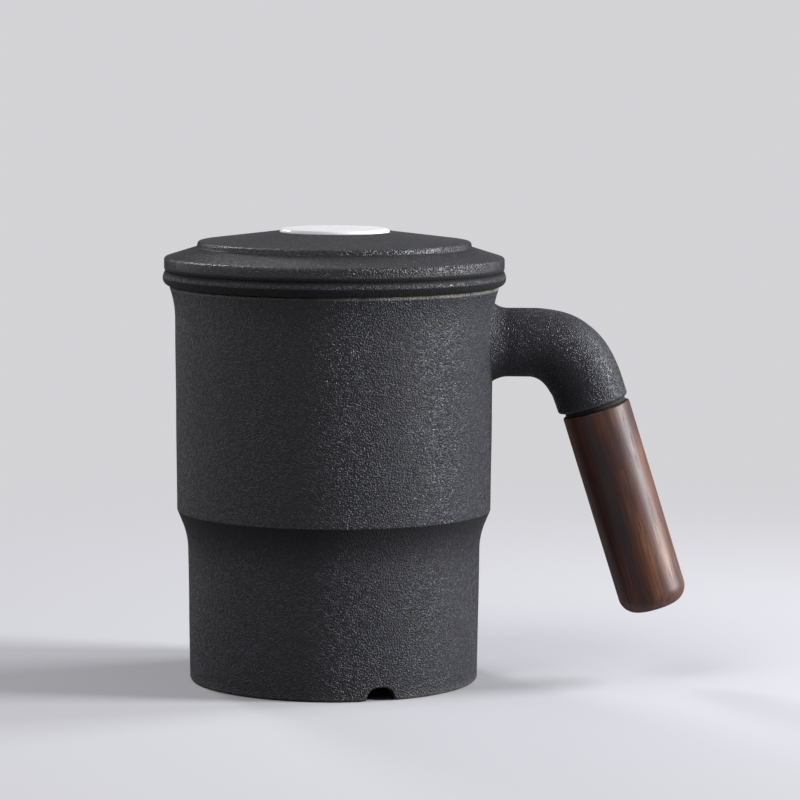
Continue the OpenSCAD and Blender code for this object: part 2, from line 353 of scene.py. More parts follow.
def smooth_through(places: np.ndarray, values: np.ndarray, at: float) -> float:
    """Reads a smooth curve through evenly spaced values.

    Args:
        places: Where the values are, evenly spaced.
        values: The values.
        at: Where the curve is read.

    Returns:
        The curve's value there.
    """
    share = (at - places[0]) / (places[1] - places[0])
    i = int(np.clip(math.floor(share), 0, len(values) - 2))
    t = share - i
    before, after = values[max(i - 1, 0)], values[min(i + 2, len(values) - 1)]
    start, end = values[i], values[i + 1]
    rise = (end - before) / 2 if i else end - start
    fall = (after - start) / 2 if i < len(values) - 2 else end - start
    bent = (2 * start - 2 * end + rise + fall) * t**3 + (3 * end - 3 * start - 2 * rise - fall) * t**2
    return float(bent + rise * t + start)


def round_about(columns: int) -> np.ndarray:
    """Gives evenly spread directions for a turned piece."""
    return np.linspace(0, 2 * math.pi, columns, endpoint=False)


@dataclass(frozen=True)
class HandWork:
    """Slight unevenness that jiggering and glazing leave in a clay wall.

    Attributes:
        depth: Greatest departure from the true form, in mm.
        spread: Distance over which it changes, in mm.
        seed: Moves the pattern, so that two pieces don't share one.
    """

    depth: float = 0.09
    spread: float = 16.0
    seed: float = 0.0

    def apply(self, surface: Surface) -> Surface:
        """Moves each vertex a little in or out, the same way wherever two vertices share a place.

        Args:
            surface: The true form.

        Returns:
            The uneven form.
        """
        near_axis = 1.0
        shift = Vector((self.seed, -self.seed, 2 * self.seed))
        wave = np.array([noise.noise(Vector(p) / self.spread + shift) for p in surface.points.tolist()])
        across = surface.points * (1, 1, 0)
        reach = np.linalg.norm(across, axis=1, keepdims=True)
        outward = across / np.maximum(reach, near_axis)
        return Surface(surface.points + outward * self.depth * wave[:, None], surface.faces, surface.thin)


@dataclass(frozen=True)
class Hole:
    """A drain hole in a flat pattern.

    Attributes:
        u: Place along the pattern, in mm.
        v: Place across the pattern, in mm.
    """

    u: float
    v: float


@dataclass(frozen=True)
class Strainer:
    """A wall with drain holes, made as a flat pattern that is then wrapped round its form.

    Attributes:
        holes: Where the holes are.
        hole_r: Radius of a hole, in mm.
        edge_r: Radius that the glaze gives to a hole's edge, in mm.
        sides: Number of sides of a hole.
        edge_steps: Number of steps round a hole's edge.
        thin: How thin the glaze is on a hole's edge.
        guard: Radius of a ring of points round each hole, in radii of the hole's rim.
        clear: Radius within which the pattern has no other points, in the same measure.
    """

    holes: Sequence[Hole]
    hole_r: float
    edge_r: float = 0.4
    sides: int = 28
    edge_steps: int = 4
    thin: float = 0.35
    guard: float = 1.25
    clear: float = 1.6

    def wrap(self, plain: Sequence[Point], border: Sequence[Point], form: Callable) -> Surface:
        """Makes both faces of the wall and the holes between them.

        Args:
            plain: Points of the flat pattern away from its border.
            border: Points round the pattern's border, in order.
            form: Gives x, y and z for a place u, v, a face, 0 for the outer and 1 for the inner one, and a
                distance in mm from that face into the wall.

        Returns:
            The surface, open at its border.
        """
        flat, triangles = self._pattern(plain, border)
        faces: list[tuple[int, ...]] = []
        points: list[tuple[float, float, float]] = []
        thin: list[float] = []
        for side in (0, 1):
            first = len(points)
            points += [form(u, v, side, 0.0) for u, v in flat]
            thin += [0.0] * len(flat)
            faces += [tuple(first + v for v in t) for t in triangles]
        body = Surface(np.array(points), faces, np.array(thin))
        return body.joined(*[self._lining(hole, form) for hole in self.holes])

    def _circle(self, hole: Hole, radius: float) -> list[Point]:
        """Gives the points of a circle round a hole."""
        turns = np.linspace(0, 2 * math.pi, self.sides, endpoint=False)
        return [(hole.u + radius * math.cos(a), hole.v + radius * math.sin(a)) for a in turns]

    def _pattern(self, plain: Sequence[Point], border: Sequence[Point]) -> tuple[list[Point], list]:
        """Cuts the flat pattern into triangles, with its holes left out.

        Args:
            plain: Points away from the border.
            border: Points of the border, in order.

        Returns:
            The pattern's points and its triangles.
        """
        same_place = 1e-6
        rim = self.hole_r + self.edge_r
        points = list(border)
        edges = [(i, (i + 1) % len(border)) for i in range(len(border))]
        for hole in self.holes:
            first = len(points)
            points += self._circle(hole, rim)
            edges += [(first + i, first + (i + 1) % self.sides) for i in range(self.sides)]
            points += self._circle(hole, rim * self.guard)
        centres = np.array([(hole.u, hole.v) for hole in self.holes])
        points += [p for p in plain if np.min(np.hypot(*(centres - p).T)) > rim * self.clear]
        made = delaunay_2d_cdt([Vector(p) for p in points], edges, [], 0, same_place)
        flat = [(p.x, p.y) for p in made[0]]
        triangles = []
        for face in made[2]:
            middle = np.mean([flat[v] for v in face], axis=0)
            if np.min(np.hypot(*(centres - middle).T)) > self.hole_r + self.edge_r / 2:
                triangles.append(tuple(face))
        return flat, triangles

    def _lining(self, hole: Hole, form: Callable) -> Surface:
        """Makes the inside of one hole, with a rounded edge at both faces.

        Args:
            hole: The hole.
            form: The same as for wrap.

        Returns:
            The hole's lining.
        """
        turns = np.linspace(0, math.pi / 2, self.edge_steps + 1)
        outer = [(0, self.edge_r * (1 - math.sin(a)), self.edge_r * (1 - math.cos(a))) for a in turns]
        rows = [*outer, *[(1, grow, deep) for _, grow, deep in reversed(outer)]]
        points = []
        thin = []
        for side, grow, deep in rows:
            points += [form(u, v, side, deep) for u, v in self._circle(hole, self.hole_r + grow)]
            thin += [self.thin if 0 < deep < self.edge_r else 0.0] * self.sides
        return Surface(np.array(points), band_faces(len(rows), self.sides), np.array(thin))


# ---------------------------------------------------------------------------------------------------------
# Node trees
# ---------------------------------------------------------------------------------------------------------


class Tree:
    """Short calls for laying out one node tree."""

    def __init__(self, tree: bpy.types.NodeTree) -> None:
        """Takes a tree and empties it."""
        self.tree = tree
        tree.nodes.clear()

    def add(self, kind: str, values: dict | None = None, **settings: object) -> bpy.types.Node:
        """Adds one node.

        Args:
            kind: The node's type, without its ShaderNode prefix.
            values: What goes into each input: a socket to link, or a plain value.
            settings: The node's own properties.

        Returns:
            The new node.
        """
        prefix = "" if kind.startswith("NodeGroup") else "ShaderNode"
        node = self.tree.nodes.new(prefix + kind)
        for key, value in settings.items():
            setattr(node, key, value)
        for key, value in (values or {}).items():
            if isinstance(value, Socket):
                self.tree.links.new(value, node.inputs[key])
            else:
                node.inputs[key].default_value = value
        return node

    def math(self, operation: str, a: object, b: object, clamp: bool = False) -> Socket:
        """Adds a sum, product or other operation on two numbers."""
        return self.add("Math", {0: a, 1: b}, operation=operation, use_clamp=clamp).outputs[0]

    def span(
        self, value: Socket, low: float, high: float, to_low: float = 0.0, to_high: float = 1.0
    ) -> Socket:
        """Maps a number from one range into another and holds it there."""
        places = {"Value": value, 1: low, 2: high, 3: to_low, 4: to_high}
        return self.add("MapRange", places).outputs[0]

    def mix(self, share: object, a: object, b: object) -> Socket:
        """Mixes two colours."""
        return self.add("Mix", {0: share, 6: _rgba(a), 7: _rgba(b)}, data_type="RGBA").outputs[2]

    def noise(self, place: Socket, scale: object, detail: object, roughness: float = 0.5) -> Socket:
        """Adds a noise pattern and gives its value."""
        values = {"Vector": place, "Scale": scale, "Detail": detail, "Roughness": roughness}
        return self.add("TexNoise", values).outputs[0]

    def cells(self, place: Socket, scale: object) -> tuple[Socket, Socket]:
        """Adds a pattern of uneven cells.

        Args:
            place: Where it is read.
            scale: How fine it is, in cells per metre.

        Returns:
            The distance from a cell's middle, and a number of each cell's own.
        """
        cells = self.add("TexVoronoi", {"Vector": place, "Scale": scale, "Randomness": 1.0}).outputs
        return cells["Distance"], self.add("SeparateColor", {"Color": cells["Color"]}).outputs[0]


def _rgba(value: object) -> object:
    """Adds full opacity to a plain colour, and passes a socket on."""
    return (*value, 1.0) if isinstance(value, tuple) and len(value) == 3 else value


class Kind(Enum):
    """Socket types of a node group."""

    NUMBER = "NodeSocketFloat"
    PLACE = "NodeSocketVector"


@dataclass(frozen=True)
class Plug:
    """A named socket of a node group.

    Attributes:
        name: The socket's name.
        kind: The socket's type.
        value: What an unlinked input holds.
    """

    name: str
    kind: Kind
    value: float | None = None


def new_group(name: str, inputs: Sequence[Plug], outputs: Sequence[Plug]) -> tuple[Tree, dict[str, Socket]]:
    """Starts a shader node group.

    Args:
        name: The group's name.
        inputs: Its inputs.
        outputs: Its outputs.

    Returns:
        Its tree, and the sockets that bring its inputs in.
    """
    group = bpy.data.node_groups.new(name, "ShaderNodeTree")
    for plug in inputs:
        socket = group.interface.new_socket(plug.name, in_out="INPUT", socket_type=plug.kind.value)
        if plug.value is not None:
            socket.default_value = plug.value
    for plug in outputs:
        group.interface.new_socket(plug.name, in_out="OUTPUT", socket_type=plug.kind.value)
    tree = Tree(group)
    entry = tree.add("NodeGroupInput")
    return tree, {plug.name: entry.outputs[plug.name] for plug in inputs}


class Effects:
    """Node groups that several finishes share, each built once."""

    def __init__(self) -> None:
        """Builds every group."""
        self.grain = self._grain()
        self.glaze_break = self._clay_edges_and_shade()
        self.mottle = self._mottle()

    @staticmethod
    def _grain() -> bpy.types.NodeTree:
        """Builds the sandy tooth of a matte glaze: packed grains of uneven size and tone, dust and ripples.

        Returns:
            A group that gives the tooth's height and the tone of each grain.
        """
        grain_edge, lowest_grain, dust_share = 0.62, 0.5, 0.4
        rarity, dusted = 2.2, (0.5, 1.3)
        tree, given = new_group(
            "sandy_tooth",
            [
                Plug("Place", Kind.PLACE),
                Plug("Grain Scale", Kind.NUMBER, 2050.0),
                Plug("Dust Scale", Kind.NUMBER, 3600.0),
                Plug("Ripple Scale", Kind.NUMBER, 420.0),
                Plug("Ripple", Kind.NUMBER, 0.6),
            ],
            [Plug("Height", Kind.NUMBER), Plug("Tone", Kind.NUMBER)],
        )
        distance, luck = tree.cells(given["Place"], given["Grain Scale"])
        dome = tree.span(distance, 0.0, grain_edge, 1.0, 0.0)
        dust = tree.noise(given["Place"], given["Dust Scale"], 0.0)
        ripples = tree.noise(given["Place"], given["Ripple Scale"], 1.0)
        height = tree.math("MULTIPLY", dome, tree.span(luck, 0.0, 1.0, lowest_grain, 1.0))
        height = tree.math("ADD", height, tree.math("MULTIPLY", dust, dust_share))
        height = tree.math("ADD", height, tree.math("MULTIPLY", ripples, given["Ripple"]))
        tone = tree.math("MULTIPLY", tree.math("POWER", luck, rarity), tree.span(dust, *NOISE_BAND, *dusted))
        tree.add("NodeGroupOutput", {"Height": height, "Tone": tone})
        return tree.tree

    @staticmethod
    def _clay_edges_and_shade() -> bpy.types.NodeTree:
        """Builds the masks of edges where the glaze runs thin and of painted shade in creases, grooves and
        undersides.

        Returns:
            A group that gives a mask of the clay that breaks through, and one of the pooled glaze.
        """
        patch_detail, patch_band, least_worn = 3.0, (0.35, 0.7), 0.35
        tree, given = new_group(
            "glaze_break",
            [
                Plug("Place", Kind.PLACE),
                Plug("Amount", Kind.NUMBER, 0.7),
                Plug("Patch Scale", Kind.NUMBER, 260.0),
            ],
            [Plug("Mask", Kind.NUMBER), Plug("Painted Shade", Kind.NUMBER)],
        )
        thin = tree.add("Attribute", attribute_name=CLAY_AND_SHADE_ATTRIBUTE).outputs["Fac"]
        patches = tree.noise(given["Place"], given["Patch Scale"], patch_detail)
        uneven = tree.span(patches, *patch_band, least_worn, 1.0)
        mask = tree.math("MULTIPLY", tree.math("MULTIPLY", thin, uneven), given["Amount"], clamp=True)
        # Painted shade: the negative part of the thinness marks where shade is painted
        painted_shade_depth = tree.math("MULTIPLY", thin, -1.0, clamp=True)
        tree.add("NodeGroupOutput", {"Mask": mask, "Painted Shade": painted_shade_depth})
        return tree.tree

    @staticmethod
    def _mottle() -> bpy.types.NodeTree:
        """Builds slow changes of tone over a surface.

        Returns:
            A group that gives a mask about one half.
        """
        tree, given = new_group(
            "mottle",
            [Plug("Place", Kind.PLACE), Plug("Scale", Kind.NUMBER, 60.0), Plug("Detail", Kind.NUMBER, 3.0)],
            [Plug("Mask", Kind.NUMBER)],
        )
        clouds = tree.noise(given["Place"], given["Scale"], given["Detail"])
        tree.add("NodeGroupOutput", {"Mask": tree.span(clouds, *NOISE_BAND)})
        return tree.tree


@dataclass(frozen=True)
class Finish:
    """What every finish of the mug shares.

    Attributes:
        name: The material's name.
        roughness: The surface's mean roughness.
    """

    name: str
    roughness: float = 0.5

    def start(self) -> tuple[bpy.types.Material, Tree, Socket]:
        """Starts the material.

        Returns:
            The material, its tree and the socket that gives a piece's own coordinates.
        """
        material = bpy.data.materials.new(self.name)
        material.use_nodes = True
        tree = Tree(material.node_tree)
        return material, tree, tree.add("TexCoord").outputs["Object"]

    def end(self, tree: Tree, varied: dict, plain: dict) -> None:
        """Ends the material with its shader.

        Args:
            tree: The material's tree.
            varied: Inputs that change over the surface.
            plain: Inputs that are the same all over.
        """
        shader = tree.add("BsdfPrincipled", {**plain, **varied})
        tree.add("OutputMaterial", {"Surface": shader.outputs[0]})

    def bump(self, tree: Tree, height: Socket, depth: float) -> Socket:
        """Adds a bump of a depth in metres."""
        return tree.add("Bump", {"Height": height, "Distance": depth, "Strength": 1.0}).outputs[0]

    def dulled(self, tree: Tree, rough: Socket, slants: tuple[float, float], amount: float) -> Socket:
        """Makes the surface rougher where it is seen at a slant.

        Args:
            tree: The material's tree.
            rough: The roughness seen straight on.
            slants: Slants of the view, 0 to 1, at which that starts and is complete.
            amount: The roughness that is added.

        Returns:
            The roughness at every slant.
        """
        slant = tree.add("LayerWeight", {"Blend": 0.5}).outputs["Facing"]
        return tree.math("ADD", rough, tree.span(slant, *slants, 0.0, amount), clamp=True)


@dataclass(frozen=True)
class Stoneware(Finish):
    """Matte charcoal glaze with a sandy tooth, on a pale clay that shows at thin edges, with painted shade in
    creases, grooves and undersides.

    Attributes:
        gritty: How much rougher the hollows between grains are than the mean.
        polished: How much smoother the grains' tops are than the mean.
        painted_shade_rough: Roughness where the shade is painted.
        specular: How strongly the glaze mirrors.
        dulling: How much rougher the glaze is when seen along its tooth.
        dull_slants: Slants of the view, 0 to 1, at which that starts and is complete.
        dark: Colour of the hollows between grains, and of the painted shade in creases, grooves and
            undersides.
        light: Colour of the grains' tops.
        fleck: Colour of scattered pale minerals.
        clay: Colour where the glaze is thin.
        tooth: Depth of the grain, in metres.
        ripple: Share of soft ripples in the tooth.
        break_amount: How far the clay's colour breaks through.
        cloudy: How far the tone changes from place to place.
        fleck_scale: How fine the minerals are, in cells per metre.
        fleck_luck: Luck of a cell, 0 to 1, from which its mineral shows, and shows in full.
        fleck_edge: Distance in a cell at which its mineral ends, and at which it is full.
        fleck_show: How far the minerals' colour shows.
    """

    roughness: float = 0.33
    gritty: float = 0.14
    polished: float = 0.12
    painted_shade_rough: float = 0.95
    specular: float = 0.31
    dulling: float = 0.34
    dull_slants: tuple[float, float] = (0.35, 0.85)
    dark: Colour = (0.0014, 0.0014, 0.0021)
    light: Colour = (0.044, 0.0432, 0.062)
    fleck: Colour = (0.16, 0.16, 0.185)
    clay: Colour = (0.32, 0.295, 0.23)
    tooth: float = 0.00030
    ripple: float = 0.35
    break_amount: float = 1.0
    cloudy: float = 0.15
    fleck_scale: float = 1500.0
    fleck_luck: tuple[float, float] = (0.90, 0.97)
    fleck_edge: tuple[float, float] = (0.42, 0.2)
    fleck_show: float = 0.3

    def build(self, effects: Effects) -> bpy.types.Material:
        """Makes the material.

        Args:
            effects: The shared node groups.

        Returns:
            The material.
        """
        material, tree, place = self.start()
        tooth = tree.add("Group", {"Place": place, "Ripple": self.ripple}, node_tree=effects.grain).outputs
        amount = {"Place": place, "Amount": self.break_amount}
        clay_and_shade_masks = tree.add("Group", amount, node_tree=effects.glaze_break).outputs
        clouds = tree.add("Group", {"Place": place}, node_tree=effects.mottle).outputs["Mask"]

        shade = tree.span(clouds, 0.0, 1.0, 1.0 - self.cloudy, 1.0 + self.cloudy)
        colour = tree.mix(tree.math("MULTIPLY", tooth["Tone"], shade), self.dark, self.light)
        distance, luck = tree.cells(place, self.fleck_scale)
        lucky = tree.span(luck, *self.fleck_luck)
        flecks = tree.math("MULTIPLY", lucky, tree.span(distance, *self.fleck_edge))
        colour = tree.mix(tree.math("MULTIPLY", flecks, self.fleck_show), colour, self.fleck)
        colour = tree.mix(clay_and_shade_masks["Mask"], colour, self.clay)
        # Painted shade: creases, grooves and undersides are darkened toward the darkest glaze colour
        colour = tree.mix(clay_and_shade_masks["Painted Shade"], colour, self.dark)

        top, hollow = self.roughness - self.polished, self.roughness + self.gritty
        rough = tree.span(tooth["Tone"], 0.0, 1.0, hollow, top)
        rough = self.dulled(tree, rough, self.dull_slants, self.dulling)
        rough = tree.mix(clay_and_shade_masks["Painted Shade"], rough, (self.painted_shade_rough,) * 3)
        normal = self.bump(tree, tooth["Height"], self.tooth)
        plain = {"IOR": 1.5, "Specular IOR Level": self.specular}
        self.end(tree, {"Base Color": colour, "Roughness": rough, "Normal": normal}, plain)
        return material


@dataclass(frozen=True)
class Streaks:
    """Streaks drawn out along the grain of the wood.

    Attributes:
        squeeze: How much slower they change along the grain than across it, from 1 for evenly towards 0.
        scale: How fine they are across the grain, per metre.
        detail: Number of finer sets of streaks inside them.
        roughness: How strong those are.
    """

    squeeze: float
    scale: float
    detail: float
    roughness: float

    def draw(self, tree: Tree, place: Socket) -> Socket:
        """Draws the streaks about the Z axis of a place, and gives their value."""
        drawn = tree.add("Mapping", {"Vector": place, "Scale": (1.0, 1.0, self.squeeze)}).outputs[0]
        return tree.noise(drawn, self.scale, self.detail, self.roughness)


@dataclass(frozen=True)
class OiledWood(Finish):
    """Dark oiled hardwood with its grain along the grip.

    Attributes:
        bands: Bands of summer and winter growth.
        fibres: Fine fibres.
        pores: Open pores.
        figure: Slow figure that makes whole stretches darker or paler.
        figure_show: How far the figure shifts the bands' shade.
        warm_at: Shades between which the deep colour gives way to the warm one.
        bright_at: Shades between which the warm colour gives way to the bright one.
        fibre_at: Values between which a fibre comes to show.
        fibre_show: How dark the fibres show.
        pore_at: Values between which a pore opens.
        pore_show: How dark the pores show.
        fibre_rough: How much smoother and rougher than the mean the fibres are.
        pore_rough: How much rougher an open pore is.
        fibre_rise: Height of the fibres, as a share of the tooth.
        pore_drop: Depth of the pores, as a share of the tooth.
        tooth: Depth of the wood's tooth, in metres.
        specular: How strongly the oil mirrors.
        dulling: How much rougher the wood is when seen along its fibres' sides.
        dull_slants: Slants of the view, 0 to 1, at which that starts and is complete.
        deep: Colour of the darkest streaks.
        warm: Colour of the wood between them.
        bright: Colour of the palest streaks.
        pore: Colour inside the pores.
        lean: Lean of the grip away from the vertical, in degrees.
        axis_x: Where the grip's axis lies once the lean is taken out, in metres.
        sway: How far the grain wanders sideways, in metres.
        sway_scale: How often it does, per metre.
    """

    roughness: float = 0.47
    bands: Streaks = Streaks(0.07, 330.0, 3.0, 0.6)
    fibres: Streaks = Streaks(0.035, 1700.0, 3.0, 0.6)
    pores: Streaks = Streaks(0.06, 2600.0, 1.0, 0.5)
    figure: Streaks = Streaks(0.45, 75.0, 2.0, 0.5)
    figure_show: float = 0.17
    warm_at: tuple[float, float] = (0.28, 0.54)
    bright_at: tuple[float, float] = (0.50, 0.82)
    fibre_at: tuple[float, float] = (0.38, 0.70)
    fibre_show: float = 0.70
    pore_at: tuple[float, float] = (0.62, 0.72)
    pore_show: float = 0.7
    fibre_rough: tuple[float, float] = (0.03, 0.04)
    pore_rough: float = 0.10
    fibre_rise: float = 0.6
    pore_drop: float = 0.25
    tooth: float = 0.00002
    specular: float = 0.42
    dulling: float = 0.44
    dull_slants: tuple[float, float] = (0.4, 0.9)
    deep: Colour = (0.0075, 0.0022, 0.0016)
    warm: Colour = (0.084, 0.0265, 0.0155)
    bright: Colour = (0.225, 0.090, 0.042)
    pore: Colour = (0.005, 0.0025, 0.002)
    lean: float = 17.4
    axis_x: float = 0.09
    sway: float = 0.003
    sway_scale: float = 45.0

    def build(self, effects: Effects) -> bpy.types.Material:
        """Makes the material.

        Args:
            effects: The shared node groups; not used.

        Returns:
            The material.
        """
        material, tree, place = self.start()
        turn = (0.0, math.radians(self.lean), 0.0)
        placing = {"Vector": place, "Rotation": turn, "Location": (-self.axis_x, 0, 0)}
        upright = tree.add("Mapping", placing).outputs[0]
        clouds = {"Vector": upright, "Scale": self.sway_scale, "Detail": 2.0}
        sway = tree.add("TexNoise", clouds).outputs["Color"]
        drift = tree.add("VectorMath", {0: sway, "Scale": self.sway}, operation="SCALE").outputs[0]
        bent = tree.add("VectorMath", {0: upright, 1: drift}, operation="ADD").outputs[0]

        bands, fibres = self.bands.draw(tree, bent), self.fibres.draw(tree, bent)
        pores, figure = self.pores.draw(tree, bent), self.figure.draw(tree, bent)
        shift = tree.span(figure, *NOISE_BAND, -self.figure_show, self.figure_show)
        shade = tree.math("ADD", bands, shift)
        colour = tree.mix(tree.span(shade, *self.warm_at), self.deep, self.warm)
        colour = tree.mix(tree.span(shade, *self.bright_at), colour, self.bright)
        colour = tree.mix(tree.span(fibres, *self.fibre_at, 0.0, self.fibre_show), colour, self.deep)
        open_pores = tree.span(pores, *self.pore_at)
        colour = tree.mix(tree.math("MULTIPLY", open_pores, self.pore_show), colour, self.pore)

        smoothest, roughest = self.roughness - self.fibre_rough[0], self.roughness + self.fibre_rough[1]
        rough = tree.span(fibres, *NOISE_BAND, smoothest, roughest)
        rough = tree.math("ADD", rough, tree.math("MULTIPLY", open_pores, self.pore_rough))
        rough = self.dulled(tree, rough, self.dull_slants, self.dulling)
        rise = tree.math("MULTIPLY", fibres, self.fibre_rise)
        height = tree.math("SUBTRACT", rise, tree.math("MULTIPLY", open_pores, self.pore_drop))
        normal = self.bump(tree, height, self.tooth)
        plain = {"IOR": 1.48, "Specular IOR Level": self.specular}
        self.end(tree, {"Base Color": colour, "Roughness": rough, "Normal": normal}, plain)
        return material


@dataclass(frozen=True)
class Porcelain(Finish):
    """Glossy white glaze with a faint flow in it.

    Attributes:
        white: The glaze's colour.
        shade: Its colour where it pools.
        flow_scale: How fine the flow is, per metre.
        flow_rough: How much rougher the glaze is where it pools.
    """

    roughness: float = 0.24
    white: Colour = (0.90, 0.90, 0.915)
    shade: Colour = (0.88, 0.88, 0.895)
    flow_scale: float = 55.0
    flow_rough: float = 0.05

    def build(self, effects: Effects) -> bpy.types.Material:
        """Makes the material.

        Args:
            effects: The shared node groups.

        Returns:
            The material.
        """
        material, tree, place = self.start()
        values = {"Place": place, "Scale": self.flow_scale, "Detail": 0.0}
        flow = tree.add("Group", values, node_tree=effects.mottle).outputs["Mask"]
        colour = tree.mix(flow, self.white, self.shade)
        rough = tree.span(flow, 0.0, 1.0, self.roughness, self.roughness + self.flow_rough)
        self.end(tree, {"Base Color": colour, "Roughness": rough}, {"IOR": 1.5})
        return material


@dataclass(frozen=True)
class Plain(Finish):
    """A small part's finish: one colour with fine specks and a fine tooth.

    Attributes:
        colour: The main colour.
        speck: The colour of the specks.
        speck_scale: How fine the specks are, in cells per metre.
        metallic: 1 for bare metal.
        tooth: Depth of the tooth, in metres.
        uneven: How much smoother and rougher than the mean the surface is.
    """

    colour: Colour = (0.5, 0.5, 0.5)
    speck: Colour = (0.4, 0.4, 0.4)
    speck_scale: float = 1200.0
    metallic: float = 0.0
    tooth: float = 0.00003
    uneven: tuple[float, float] = (0.06, 0.08)

    def build(self, effects: Effects) -> bpy.types.Material:
        """Makes the material.

        Args:
            effects: The shared node groups.

        Returns:
            The material.
        """
        material, tree, place = self.start()
        values = {"Place": place, "Scale": self.speck_scale}
        specks = tree.add("Group", values, node_tree=effects.mottle).outputs["Mask"]
        colour = tree.mix(specks, self.colour, self.speck)
        smoothest, roughest = self.roughness - self.uneven[0], self.roughness + self.uneven[1]
        rough = tree.span(specks, 0.0, 1.0, smoothest, roughest)
        normal = self.bump(tree, specks, self.tooth)
        plain = {"Metallic": self.metallic}
        self.end(tree, {"Base Color": colour, "Roughness": rough, "Normal": normal}, plain)
        return material


# ---------------------------------------------------------------------------------------------------------
# The mug's sub-assemblies
# ---------------------------------------------------------------------------------------------------------


def settle(piece: bpy.types.Object, material: bpy.types.Material, body: Body, node: str) -> None:
    """Dresses a piece and puts it on its body in place of a CAD node.

    Args:
        piece: The new piece.
        material: Its finish.
        body: The body that it rides on.
        node: The CAD node that it stands for.
    """
    piece.data.materials.append(material)
    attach(piece, body.value)
    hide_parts(node)
    LOG.info("%s stands for %s on %s: %d faces", piece.name, node, body.value, len(piece.data.polygons))


def dress(node: str, material: bpy.types.Material) -> None:
    """Gives a CAD node that stays a new finish.

    Args:
        node: The node's name.
        material: Its finish.
    """
    mesh = frame["nodes"][node].data
    mesh.materials.clear()
    mesh.materials.append(material)
    LOG.info("%s stays, with %s", node, material.name)


